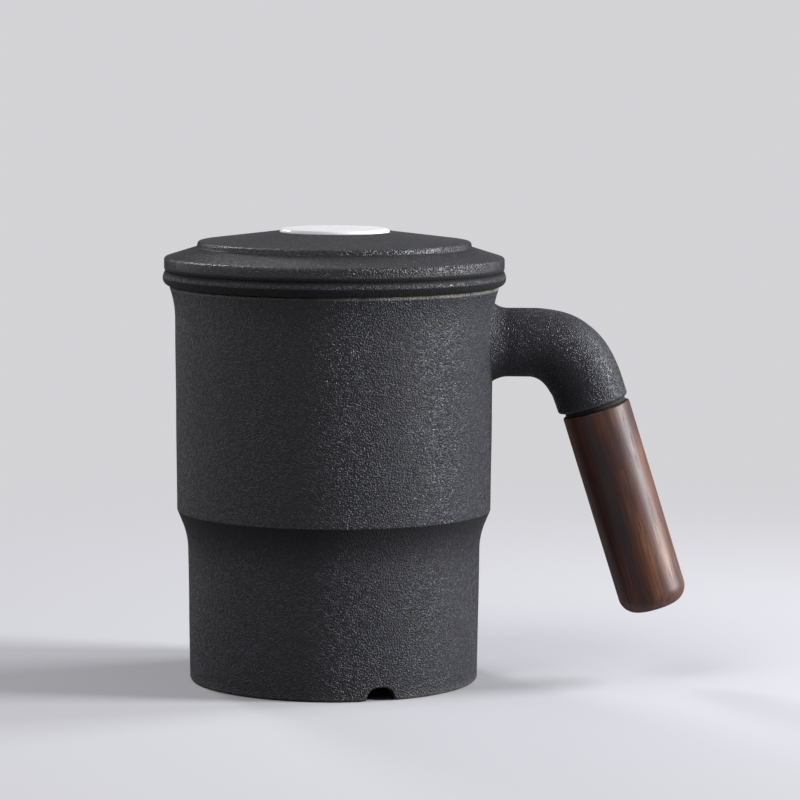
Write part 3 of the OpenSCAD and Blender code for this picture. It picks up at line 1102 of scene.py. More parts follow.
@dataclass
class Cup:
    """The stepped stoneware cup, in mm.

    Attributes:
        height: Height of the lip.
        upper_r: Outer radius just above the step.
        neck_r: Outer radius under the lip's flare.
        lip_r: Outer radius of the lip.
        lip_edge_r: Radius of the lip's outer edge.
        lip_flat: Straight that is left between the flare and that edge.
        lip_clay_and_highlight: How far the pale clay colour shows on the lip's outer edge, partly thin glaze
            and partly a painted highlight.
        mouth_edge_r: Radius of the lip's inner edge.
        mouth_thin: How thin the glaze is there.
        flare_h: Height of the flare.
        step_z: Height of the step's crease.
        lower_r: Outer radius of the lower body.
        foot_r: Outer radius of the foot.
        step_angle: Slope of the step from the vertical, in degrees.
        cove_r: Radius of the cove under the step.
        crease_r: Radius that the glaze leaves on the crease.
        wall: Thickness of the wall.
        step_in_r: Radius of the turn over the step inside.
        floor_z: Height of the cup's floor inside.
        floor_corner_r: Radius of the corner round that floor.
        recess_h: Depth of the recess under the base.
        recess_corner_r: Radius of the corner round the recess.
        ring_w: Width of the foot ring.
        ring_edge_r: Radius of the ring's inner edge.
        ring_thin: How thin the glaze is there.
        foot_edge_r: Radius of the ring's outer edge.
        foot_thin: How thin the glaze is there.
        notch_w: Width of a drain notch.
        notch_h: Height of a drain notch.
        notch_square: How square a notch's arch is; 2 makes an ellipse.
        notch_flare: Radius of a notch's soft ends.
        notch_blend: Share of that radius over which they blend into the arch.
        notch_stretch: Height, in notches, over which the ring's face gives way to a notch.
        notch_left: Least height of the ring's inner face over a notch.
        notch_azimuths: Directions of the notches, in degrees.
        painted_shade: Depth of the painted shade under the step, from 0 to 1.
        painted_shade_h: Height over which it fades out.
        painted_shade_fade: How fast it does; 1 is even.
    """

    height: float = 106.5
    upper_r: float = 42.25
    neck_r: float = 42.75
    lip_r: float = 44.45
    lip_edge_r: float = 0.6
    lip_flat: float = 0.1
    lip_clay_and_highlight: float = 0.6
    mouth_edge_r: float = 1.2
    mouth_thin: float = 0.4
    flare_h: float = 10.0
    step_z: float = 46.1
    lower_r: float = 39.4
    foot_r: float = 38.8
    step_angle: float = 22.5
    cove_r: float = 20.0
    crease_r: float = 0.9
    wall: float = 4.0
    step_in_r: float = 3.0
    floor_z: float = 8.5
    floor_corner_r: float = 5.0
    recess_h: float = 3.5
    recess_corner_r: float = 1.0
    ring_w: float = 4.5
    ring_edge_r: float = 0.6
    ring_thin: float = 0.5
    foot_edge_r: float = 0.8
    foot_thin: float = 0.2
    notch_w: float = 7.9
    notch_h: float = 3.5
    notch_square: float = 2.7
    notch_flare: float = 1.1
    notch_blend: float = 0.45
    notch_stretch: float = 3.0
    notch_left: float = 0.15
    notch_azimuths: tuple[float, ...] = (-71.2, 48.8, 168.8)
    painted_shade: float = 1.0
    painted_shade_h: float = 20.0
    painted_shade_fade: float = 1.5

    @property
    def flare_r(self) -> float:
        """Radius of the arc that flares the lip."""
        out = self.lip_r - self.neck_r
        return (self.flare_h**2 + out**2) / (2 * out)

    def outer_r(self, z: float) -> float:
        """Gives the cup's outer radius above the step.

        Args:
            z: Height, in mm.

        Returns:
            The radius.
        """
        flare_z = self.height - self.flare_h
        if z <= flare_z:
            return self.upper_r + (self.neck_r - self.upper_r) * (z - self.step_z) / (flare_z - self.step_z)
        return self.neck_r + self.flare_r - math.sqrt(self.flare_r**2 - (z - flare_z) ** 2)

    def corners(self) -> list[Corner]:
        """Lists the corners of the cup's outline, from the recess under the base to the floor inside.

        Returns:
            The corners.
        """
        slope = math.tan(math.radians(self.step_angle))
        lip_angle = math.asin(self.flare_h / self.flare_r)
        bend_z = self.height - self.flare_h + self.flare_r * math.tan(lip_angle / 2)
        lip_in_r = self.neck_r + self.flare_r - math.sqrt((self.flare_r + self.wall) ** 2 - self.flare_h**2)
        lip_room = self.lip_edge_r * math.tan((math.pi / 2 + lip_angle) / 2) + self.lip_flat
        inner_r = self.neck_r - self.wall
        low_in_r = self.lower_r - self.wall
        step_in_z = self.step_z + self.wall * math.tan(math.radians(self.step_angle) / 2)
        step_in_z += (self.neck_r - self.upper_r) / slope
        ring_in_r = self.foot_r - self.ring_w
        cove_z = self.step_z - (self.upper_r - self.lower_r) / slope
        return [
            Corner(0, self.recess_h),
            Corner(ring_in_r, self.recess_h, self.recess_corner_r),
            Corner(ring_in_r, 0, self.ring_edge_r, self.ring_thin),
            Corner(self.foot_r, 0, self.foot_edge_r, self.foot_thin),
            Corner(self.lower_r, cove_z, self.cove_r),
            Corner(self.upper_r, self.step_z, self.crease_r),
            Corner(self.neck_r, bend_z, self.flare_r - lip_room / math.tan(lip_angle / 2)),
            # Partly painted highlight: the pale clay colour on the lip's outer edge stands in for the light it
            # catches, besides the thin glaze there
            Corner(self.lip_r, self.height, self.lip_edge_r, self.lip_clay_and_highlight),
            Corner(lip_in_r, self.height, self.mouth_edge_r, self.mouth_thin),
            Corner(inner_r, bend_z - self.wall * math.tan(lip_angle / 2), self.flare_r + self.wall),
            Corner(inner_r, step_in_z, self.step_in_r),
            Corner(low_in_r, step_in_z - (inner_r - low_in_r) / slope, self.cove_r + self.wall),
            Corner(low_in_r, self.floor_z, self.floor_corner_r),
            Corner(0, self.floor_z),
        ]

    def painted_shade_depth(self, r: float, z: float) -> float:
        """Gives how deep the painted shade under the step is, from 0 to 1.

        Args:
            r: Distance from the axis, in mm.
            z: Height, in mm.

        Returns:
            The depth of the painted shade.
        """
        drop = (self.step_z - z) / self.painted_shade_h
        if r < self.lower_r - self.wall / 2 or not 0 < drop < 1:
            return 0.0
        return self.painted_shade * (1 - drop) ** self.painted_shade_fade

    def columns(self) -> np.ndarray:
        """Spreads the columns of vertices, closer where a notch is.

        Returns:
            Their directions in radians.
        """
        coarse, fine, window = 2.0, 0.3, 7.5
        angles = set(np.arange(0, 360, coarse).round(3))
        for azimuth in self.notch_azimuths:
            angles |= {round(a % 360, 3) for a in np.arange(azimuth - window, azimuth + window, fine)}
        kept: list[float] = []
        for angle in sorted(angles):
            if not kept or angle - kept[-1] > fine / 2:
                kept.append(angle)
        return np.radians(kept)

    def notch_rise(self, across: np.ndarray) -> np.ndarray:
        """Gives the height of a notch's arch, with soft ends.

        Args:
            across: Distance from the notch's middle, in mm.

        Returns:
            The height at each distance.
        """
        share = across / (self.notch_w / 2)
        inside = self.notch_h * np.sqrt(np.maximum(1 - share**self.notch_square, 0))
        arch = np.where(share < 1, inside, (1 - share) * self.notch_h)
        soft = self.notch_flare * self.notch_blend
        return (arch + np.sqrt(arch**2 + soft**2)) / 2

    def notched(self, surface: Surface) -> Surface:
        """Presses the drain notches into the foot ring.

        Args:
            surface: The cup without notches.

        Returns:
            The cup with them.
        """
        slack, pressed, worn = 0.01, 0.4, 0.5
        points = surface.points.copy()
        thin = surface.thin.copy()
        x, y, z = points.T
        out = np.hypot(x, y)
        outer = out > self.foot_r - self.ring_w / 2
        reach = np.where(outer, self.notch_h * self.notch_stretch, self.recess_h)
        in_ring = (out > self.foot_r - self.ring_w - slack) & (z < reach)
        for azimuth in np.radians(self.notch_azimuths):
            ahead = x * math.cos(azimuth) + y * math.sin(azimuth)
            across = np.abs(y * math.cos(azimuth) - x * math.sin(azimuth))
            cut = np.minimum(self.notch_rise(across), reach - self.notch_left)
            rise = np.where((ahead > 0) & in_ring & (across < self.notch_w), cut, 0)
            z[:] = rise + z * (reach - rise) / reach
            thin[:] = np.where(rise > pressed, thin * worn, thin)
        return Surface(points, surface.faces, thin)

    def build(self, glaze: bpy.types.Material) -> None:
        """Makes the cup and puts it in its place.

        Args:
            glaze: The cup's finish.
        """
        outline = Tracer().trace(self.corners())
        # Painted shade: the wall under the step is darkened, deepest at the crease
        outline.thin = [value - self.painted_shade_depth(r, z) for (r, z), value in zip(outline.points, outline.thin)]
        turned = lathe(outline, self.columns())
        piece = HandWork(depth=0.10, seed=3.1).apply(self.notched(turned)).build("cup_shell")
        settle(piece, glaze, Body.MUG, "mug_body")


@dataclass
class Arm:
    """The stoneware arm that leaves the cup sideways and bends down, in mm.

    Attributes:
        cup: The cup that it is luted to.
        radius: Radius of the arm before the bend.
        girth: Radius of the arm at even stations from the start of the bend to the arm's end.
        drift: How far the arm's middle lies outside its axis at the same stations.
        axis_z: Height of its axis at the cup.
        length: Straight length before the bend.
        bend_r: Radius of the bend, on the axis.
        tail: Straight length after the bend.
        lean: Lean of the grip away from the vertical, in degrees.
        swell: How far the arm swells at the cup.
        sunk: How far the root reaches into the cup's wall.
        edge_r: Radius of the edge at the arm's end.
        edge_thin: How thin the glaze is on that edge.
        painted_shade: Depth of the painted shade on the arm's underside, from 0 to 1.
        painted_shade_from: How far down the arm's side the painted shade starts, from 0 to 1.
        around: Number of columns of vertices round the arm.
        root_steps: Number of rings in the swell at the cup, without the first.
        straight_steps: Number of rings from there to the bend.
        bend_steps: Number of rings in the bend and the tail.
        edge_steps: Number of rings on the end's edge.
        cap: How far in the rings of the end's face lie, in radii of the arm.
    """

    cup: Cup
    radius: float = 9.25
    girth: tuple[float, ...] = (9.25, 9.45, 9.75, 9.95, 10.0, 9.9, 9.75, 9.68, 9.65)
    drift: tuple[float, ...] = (0.0, 0.0, 0.05, -0.05, -0.25, -0.5, -0.55, -0.45, -0.35)
    axis_z: float = 91.2
    length: float = 10.0
    bend_r: float = 16.6
    tail: float = 5.2
    lean: float = 17.4
    swell: float = 1.6
    sunk: float = 0.5
    edge_r: float = 0.8
    edge_thin: float = 0.1
    painted_shade: float = 0.8
    painted_shade_from: float = 0.1
    around: int = 128
    root_steps: int = 14
    straight_steps: int = 5
    bend_steps: int = 43
    edge_steps: int = 6
    cap: tuple[float, ...] = (0.2, 0.35, 0.5, 0.75, 0.98)

    @property
    def bend_x(self) -> float:
        """Where the bend starts."""
        return self.cup.neck_r + self.length

    @property
    def bend_angle(self) -> float:
        """How far the arm bends, in radians."""
        return math.radians(90 - self.lean)

    def axis(self, distance: float) -> tuple[np.ndarray, float]:
        """Follows the arm's axis from the start of the bend.

        Args:
            distance: Distance along the axis, in mm.

        Returns:
            The point in x and z, and the arm's direction below the horizontal, in radians.
        """
        angle = min(distance / self.bend_r, self.bend_angle)
        x = self.bend_x + self.bend_r * math.sin(angle)
        z = self.axis_z - self.bend_r * (1 - math.cos(angle))
        left = distance - self.bend_r * angle
        return np.array((x, z)) + left * np.array((math.cos(angle), -math.sin(angle))), angle

    @property
    def joint(self) -> Matrix:
        """Frame at the arm's end.

        Returns:
            The frame, with Z down the grip and its shift in mm.
        """
        point, _ = self.axis(self.bend_r * self.bend_angle + self.tail)
        turn = Matrix.Rotation(math.radians(180 - self.lean), 4, "Y")
        return Matrix.Translation((point[0], 0, point[1])) @ turn

    def root_rings(self, around: np.ndarray) -> list[np.ndarray]:
        """Makes the rings from the cup's wall to the bend, which follow the wall and turn square to the axis.

        Args:
            around: Directions round the arm, in radians.

        Returns:
            One array of points for each ring.
        """
        swell_angle = math.radians(45)
        arc_r = self.swell / (1 - math.cos(swell_angle))
        arc_end = arc_r * math.sin(swell_angle)
        rings = []
        for step in range(self.root_steps + 1):
            share = step / self.root_steps
            out = arc_end * (1 - math.cos(share * math.pi / 2))
            radius = self.radius + arc_r - math.sqrt(max(arc_r**2 - (arc_end - out) ** 2, 0))
            y = radius * np.cos(around)
            z = self.axis_z + radius * np.sin(around)
            wall_r = np.array([self.cup.outer_r(float(v)) for v in z])
            wall_x = np.sqrt(wall_r**2 - y**2) - self.sunk
            square = self.cup.neck_r + out
            ease = share * share * (3 - 2 * share)
            rings.append(np.stack((wall_x + (square - wall_x) * ease + (1 - ease) * out, y, z), axis=1))
        y = self.radius * np.cos(around)
        z = self.axis_z + self.radius * np.sin(around)
        for x in np.linspace(self.cup.neck_r + arc_end, self.bend_x, self.straight_steps + 1)[1:]:
            rings.append(np.stack((np.full_like(around, x), y, z), axis=1))
        return rings

    def bent_rings(self, around: np.ndarray) -> list[np.ndarray]:
        """Makes the rings of the bend, the tail and the rounded end.

        Args:
            around: Directions round the arm, in radians.

        Returns:
            One array of points for each ring.
        """
        full = self.bend_r * self.bend_angle + self.tail
        stations = [(place, 0.0) for place in np.linspace(0, full - self.edge_r, self.bend_steps + 1)[1:]]
        for turn in np.linspace(0, math.pi / 2, self.edge_steps + 1)[1:]:
            stations.append((full - self.edge_r * (1 - math.sin(turn)), self.edge_r * (1 - math.cos(turn))))
        stations += [(full, self.radius * share) for share in self.cap]
        places = np.linspace(0, full, len(self.girth))
        girth, drift = np.array(self.girth), np.array(self.drift)
        rings = []
        for distance, inset in stations:
            (x, z), angle = self.axis(distance)
            radius = smooth_through(places, girth, distance) - inset
            up = radius * np.sin(around) + smooth_through(places, drift, distance)
            side = radius * np.cos(around)
            rings.append(np.stack((x + up * math.sin(angle), side, z + up * math.cos(angle)), axis=1))
        return rings

    def build(self, glaze: bpy.types.Material) -> None:
        """Makes the arm and puts it in its place.

        Args:
            glaze: The arm's finish.
        """
        around = round_about(self.around)
        rings = self.root_rings(around) + self.bent_rings(around)
        faces = band_faces(len(rings), len(around))
        last = (len(rings) - 1) * len(around)
        faces.append(tuple(range(last, last + len(around))))
        # Painted shade: the arm's underside is darkened toward the darkest glaze colour
        under = np.clip(-np.sin(around) - self.painted_shade_from, 0, 1)
        thin = np.tile(-self.painted_shade * under, (len(rings), 1))
        edge_end = len(rings) - len(self.cap)
        thin[edge_end - self.edge_steps:edge_end] = self.edge_thin
        surface = Surface(np.vstack(rings), faces, thin.ravel())
        piece = self.uneven(surface).build("luted_arm")
        settle(piece, glaze, Body.MUG, "handle_arm")

    def uneven(self, surface: Surface) -> Surface:
        """Gives the arm the slight unevenness of a hand-finished casting, the same on every run.

        Args:
            surface: The true form.

        Returns:
            The uneven form.
        """
        depth, spread, seed = 0.09, 9.0, 1
        noise.seed_set(seed)
        points = surface.points.copy()
        for i, place in enumerate(points.tolist()):
            points[i] += np.array(noise.noise_vector(Vector(place) / spread)) * depth
        return Surface(points, surface.faces, surface.thin)


@dataclass
class Grip:
    """The turned wood grip with its washer, in mm along its own axis.

    Attributes:
        joint: Frame at the arm's end, with Z down the grip.
        length: Length of the wood.
        top_r: Radius at the arm.
        end_r: Radius near the free end.
        edge_r: Radius of the free edge.
        dome_h: Height of the dome on the free end.
        dome_r: Radius that rounds the dome's middle.
        break_r: Radius of the edge at the arm.
        seal_t: Thickness of the washer.
        seal_inset: How far the washer's edge lies inside the wood's edge.
        seal_bulge: Radius of the washer's edges, in thicknesses of the washer.
        seal_hole_edge_r: Radius of the edges of its hole.
        socket_r: Radius of the stud's socket.
        socket_depth: Depth of the stud's socket in the wood.
        socket_edge_r: Radius of the edge at its mouth.
        socket_end_r: Radius of the corner round its end.
        columns: Number of columns of vertices round the wood.
        seal_columns: The same for the washer.
    """

    joint: Matrix
    length: float = 56.9
    top_r: float = 9.25
    end_r: float = 9.2
    edge_r: float = 4.7
    dome_h: float = 0.5
    dome_r: float = 14.0
    break_r: float = 0.5
    seal_t: float = 1.3
    seal_inset: float = 0.9
    seal_bulge: float = 0.35
    seal_hole_edge_r: float = 0.05
    socket_r: float = 3.1
    socket_depth: float = 22.5
    socket_edge_r: float = 0.15
    socket_end_r: float = 0.2
    columns: int = 128
    seal_columns: int = 96

    def wood_corners(self) -> list[Corner]:
        """Lists the corners of the wood's outline, from its socket to the middle of its free end.

        Returns:
            The corners.
        """
        top = self.seal_t
        end = self.seal_t + self.length
        middle = self.end_r / 4
        return [
            Corner(0, top + self.socket_depth),
            Corner(self.socket_r, top + self.socket_depth, self.socket_end_r),
            Corner(self.socket_r, top, self.socket_edge_r),
            Corner(self.top_r, top, self.break_r),
            Corner(self.end_r, end - 2 * self.dome_h, self.edge_r),
            Corner(middle, end, self.dome_r),
            Corner(0, end),
        ]

    def seal_corners(self) -> list[Corner]:
        """Lists the corners of the washer's outline.

        Returns:
            The corners, which close on themselves.
        """
        rim_r = self.top_r - self.seal_inset
        fillet = self.seal_t * self.seal_bulge
        middle = self.seal_t / 2
        return [
            Corner(self.socket_r, middle),
            Corner(self.socket_r, 0, self.seal_hole_edge_r),
            Corner(rim_r, 0, fillet),
            Corner(rim_r, self.seal_t, fillet),
            Corner(self.socket_r, self.seal_t, self.seal_hole_edge_r),
            Corner(self.socket_r, middle),
        ]

    def build(
        self, wood: bpy.types.Material, rubber: bpy.types.Material, steel: bpy.types.Material
    ) -> None:
        """Makes the wood and the washer, and dresses the stud.

        Args:
            wood: The grip's finish.
            rubber: The washer's finish.
            steel: The stud's finish.
        """
        tracer = Tracer(step=1.5, arc_step=0.4)
        turned = lathe(tracer.trace(self.wood_corners()), round_about(self.columns)).placed(self.joint)
        settle(turned.build("turned_grip"), wood, Body.MUG, "wood_grip")
        washer = lathe(tracer.trace(self.seal_corners()), round_about(self.seal_columns)).placed(self.joint)
        settle(washer.build("grip_washer"), rubber, Body.MUG, "grip_seal")
        dress("grip_stud", steel)


@dataclass
class Infuser:
    """The basket with drain holes that hangs from the lip by its flange, in mm.

    Attributes:
        lip_z: Height of the lip that the flange lies on.
        flange_r: Radius of the flange.
        flange_t: Thickness of the flange.
        under_r: Radius of the flange's lower edge.
        slope_h: Height of the slope round the flange's upper edge.
        slope_w: Width of that slope.
        slope_foot_r: Radius that rounds the slope into the flange's side.
        slope_top_r: Radius that rounds the slope into the flange's top.
        mouth_edge_r: Radius of the edge of the basket's mouth.
        mouth_thin: How thin the glaze is there.
        shoulder_r: Radius of the shoulder that centres it.
        shoulder_h: Height of the shoulder.
        shoulder_edge_r: Radius of the shoulder's lower edge.
        under_corner_r: Radius of the corner under the flange.
        neck_bend_r: Radius of the bends where the wall meets the shoulder.
        top_r: Outer radius of the basket under its shoulder.
        low_r: Outer radius of the basket at its foot.
        bottom_z: Height of the basket's underside.
        wall: Thickness of its wall.
        corner_r: Radius of its lower corner.
        corner_left: How much smaller that radius is drawn, so that a short straight is left beside it.
        corner_thin: How thin the glaze is there.
        hole_r: Radius of a drain hole.
        rows: Number of rows of holes in the wall.
        per_row: Number of holes in a row.
        row_pitch: Height from row to row.
        row_start: Where a row starts after the wall's seam, in holes.
        rings: Number of rings of holes in the floor, round the one in the middle.
        ring_pitch: Distance from ring to ring in the floor.
        columns: Number of columns of vertices round the basket.
        tracer: Traces its outlines.
    """

    lip_z: float = 106.5
    flange_r: float = 46.05
    flange_t: float = 3.9
    under_r: float = 2.0
    slope_h: float = 1.4
    slope_w: float = 0.55
    slope_foot_r: float = 1.2
    slope_top_r: float = 0.4
    mouth_edge_r: float = 1.2
    mouth_thin: float = 0.4
    shoulder_r: float = 38.985
    shoulder_h: float = 3.0
    shoulder_edge_r: float = 0.6
    under_corner_r: float = 0.3
    neck_bend_r: float = 1.5
    top_r: float = 36.95
    low_r: float = 33.6
    bottom_z: float = 40.5
    wall: float = 2.8
    corner_r: float = 6.0
    corner_left: float = 0.05
    corner_thin: float = 0.15
    hole_r: float = 1.3
    rows: int = 4
    per_row: int = 16
    row_pitch: float = 7.0
    row_start: float = 0.25
    rings: int = 3
    ring_pitch: float = 8.0
    columns: int = 160
    tracer: Tracer = Tracer(step=2.0)

    @property
    def neck_z(self) -> float:
        """Height at which the basket meets its shoulder."""
        return self.lip_z - self.shoulder_h - (self.shoulder_r - self.top_r)

    @property
    def first_row_z(self) -> float:
        """Height of the lowest row of holes."""
        return self.bottom_z + self.corner_r + 2 * self.hole_r

    @property
    def seam(self) -> float:
        """Direction in which the wall's pattern is joined, in radians."""
        return -self.row_start * 2 * math.pi / self.per_row

    def wall_r(self, z: float) -> float:
        """Gives the basket's outer radius between its corner and its shoulder."""
        low_z = self.bottom_z + self.corner_r
        return self.low_r + (self.top_r - self.low_r) * (z - low_z) / (self.neck_z - low_z)

    def strained_wall(self) -> tuple[Surface, float, float]:
        """Makes the stretch of the wall that holds the rows of holes.

        Returns:
            The stretch, and its lowest and highest heights.
        """
        steps_per_row = 5
        low = self.bottom_z + self.corner_r
        high = self.first_row_z + (self.rows - 0.5) * self.row_pitch
        mean_r = self.wall_r((low + high) / 2)
        width = 2 * math.pi * mean_r
        pitch = width / self.per_row
        holes = []
        for row in range(self.rows):
            row_z = self.first_row_z + row * self.row_pitch
            for i in range(self.per_row):
                place = (i + row / 2) % self.per_row + self.row_start
                holes.append(Hole(place * pitch, row_z))
        us = np.linspace(0, width, self.columns + 1)
        vs = np.linspace(low, high, self.rows * steps_per_row + 1)
        border = [(u, low) for u in us] + [(width, v) for v in vs[1:-1]]
        border += [(u, high) for u in us[::-1]] + [(0.0, v) for v in vs[-2:0:-1]]
        plain = [(u, v) for u in us[1:-1] for v in vs[1:-1]]

        def form(u: float, v: float, side: int, deep: float) -> tuple[float, float, float]:
            """Wraps the pattern round the basket.

            Args:
                u: Place along the pattern, in mm.
                v: Height, in mm.
                side: 0 for the wall's outer face and 1 for its inner one.
                deep: Distance from that face into the wall, in mm.

            Returns:
                The point's x, y and z.
            """
            into = deep if side == 0 else self.wall - deep
            r = self.wall_r(v) - into
            angle = u / mean_r + self.seam
            return r * math.cos(angle), r * math.sin(angle), v

        return Strainer(holes, self.hole_r).wrap(plain, border, form), low, high

    def strained_floor(self) -> tuple[Surface, float]:
        """Makes the flat floor with its rings of holes.

        Returns:
            The floor, and its radius.
        """
        first_r, step, margin, fewest, per_mm = 2.5, 2.0, 1.0, 6, 3
        reach = self.low_r - self.corner_r
        holes = [Hole(0.0, 0.0)]
        for ring in range(1, self.rings + 1):
            ring_r = ring * self.ring_pitch
            for i in range(6 * ring):
                angle = math.pi / 3 * i / ring
                holes.append(Hole(ring_r * math.cos(angle), ring_r * math.sin(angle)))
        border = [(reach * math.cos(a), reach * math.sin(a)) for a in self.directions()]
        plain = [
            (r * math.cos(a), r * math.sin(a))
            for r in np.arange(first_r, reach - margin, step)
            for a in np.linspace(0, 2 * math.pi, max(fewest, int(r * per_mm)), endpoint=False)
        ]

        def form(u: float, v: float, side: int, deep: float) -> tuple[float, float, float]:
            """Lays the pattern in the basket's floor."""
            return u, v, self.bottom_z + (deep if side == 0 else self.wall - deep)

        return Strainer(holes, self.hole_r).wrap(plain, border, form), reach

    def directions(self) -> np.ndarray:
        """Gives the directions of the columns, which start where the wall's pattern is joined."""
        return round_about(self.columns) + self.seam

    def build(self, glaze: bpy.types.Material) -> None:
        """Makes the infuser and puts it in its place.

        Args:
            glaze: The infuser's finish.
        """
        wall, low, high = self.strained_wall()
        floor, reach = self.strained_floor()
        around = self.directions()
        seat_z = self.lip_z + self.flange_t
        mouth_r = self.shoulder_r - self.wall
        shoulder_z = self.lip_z - self.shoulder_h
        outer_r = self.corner_r - self.corner_left
        rim = self.tracer.trace([
            Corner(self.wall_r(high), high),
            Corner(self.top_r, self.neck_z, self.neck_bend_r),
            Corner(self.shoulder_r, shoulder_z, self.shoulder_edge_r),
            Corner(self.shoulder_r, self.lip_z, self.under_corner_r),
            # Painted shade: the flange's underside and its slope under the lid are darkened toward the darkest
            # glaze colour
            Corner(self.flange_r, self.lip_z, self.under_r, PAINTED_SHADE),
            Corner(self.flange_r, (self.lip_z + self.under_r + seat_z - self.slope_h) / 2),
            Corner(self.flange_r, seat_z - self.slope_h, self.slope_foot_r),
            Corner(self.flange_r - self.slope_w, seat_z, self.slope_top_r, PAINTED_SHADE),
            Corner(mouth_r, seat_z, self.mouth_edge_r, self.mouth_thin),
            Corner(mouth_r, shoulder_z, self.neck_bend_r),
            Corner(self.top_r - self.wall, self.neck_z, self.neck_bend_r),
            Corner(self.wall_r(high) - self.wall, high),
        ])
        outside = self.tracer.trace([
            Corner(reach, self.bottom_z),
            Corner(self.low_r, self.bottom_z, outer_r, self.corner_thin),
            Corner(self.wall_r(low), low),
        ])
        inside = self.tracer.trace([
            Corner(reach, self.bottom_z + self.wall),
            Corner(self.low_r - self.wall, self.bottom_z + self.wall, outer_r - self.wall),
            Corner(self.wall_r(low) - self.wall, low),
        ])
        whole = wall.joined(floor, lathe(rim, around), lathe(outside, around), lathe(inside, around))
        piece = HandWork(depth=0.06, seed=8.7).apply(whole).build("strainer_basket")
        settle(piece, glaze, Body.INFUSER, "infuser")


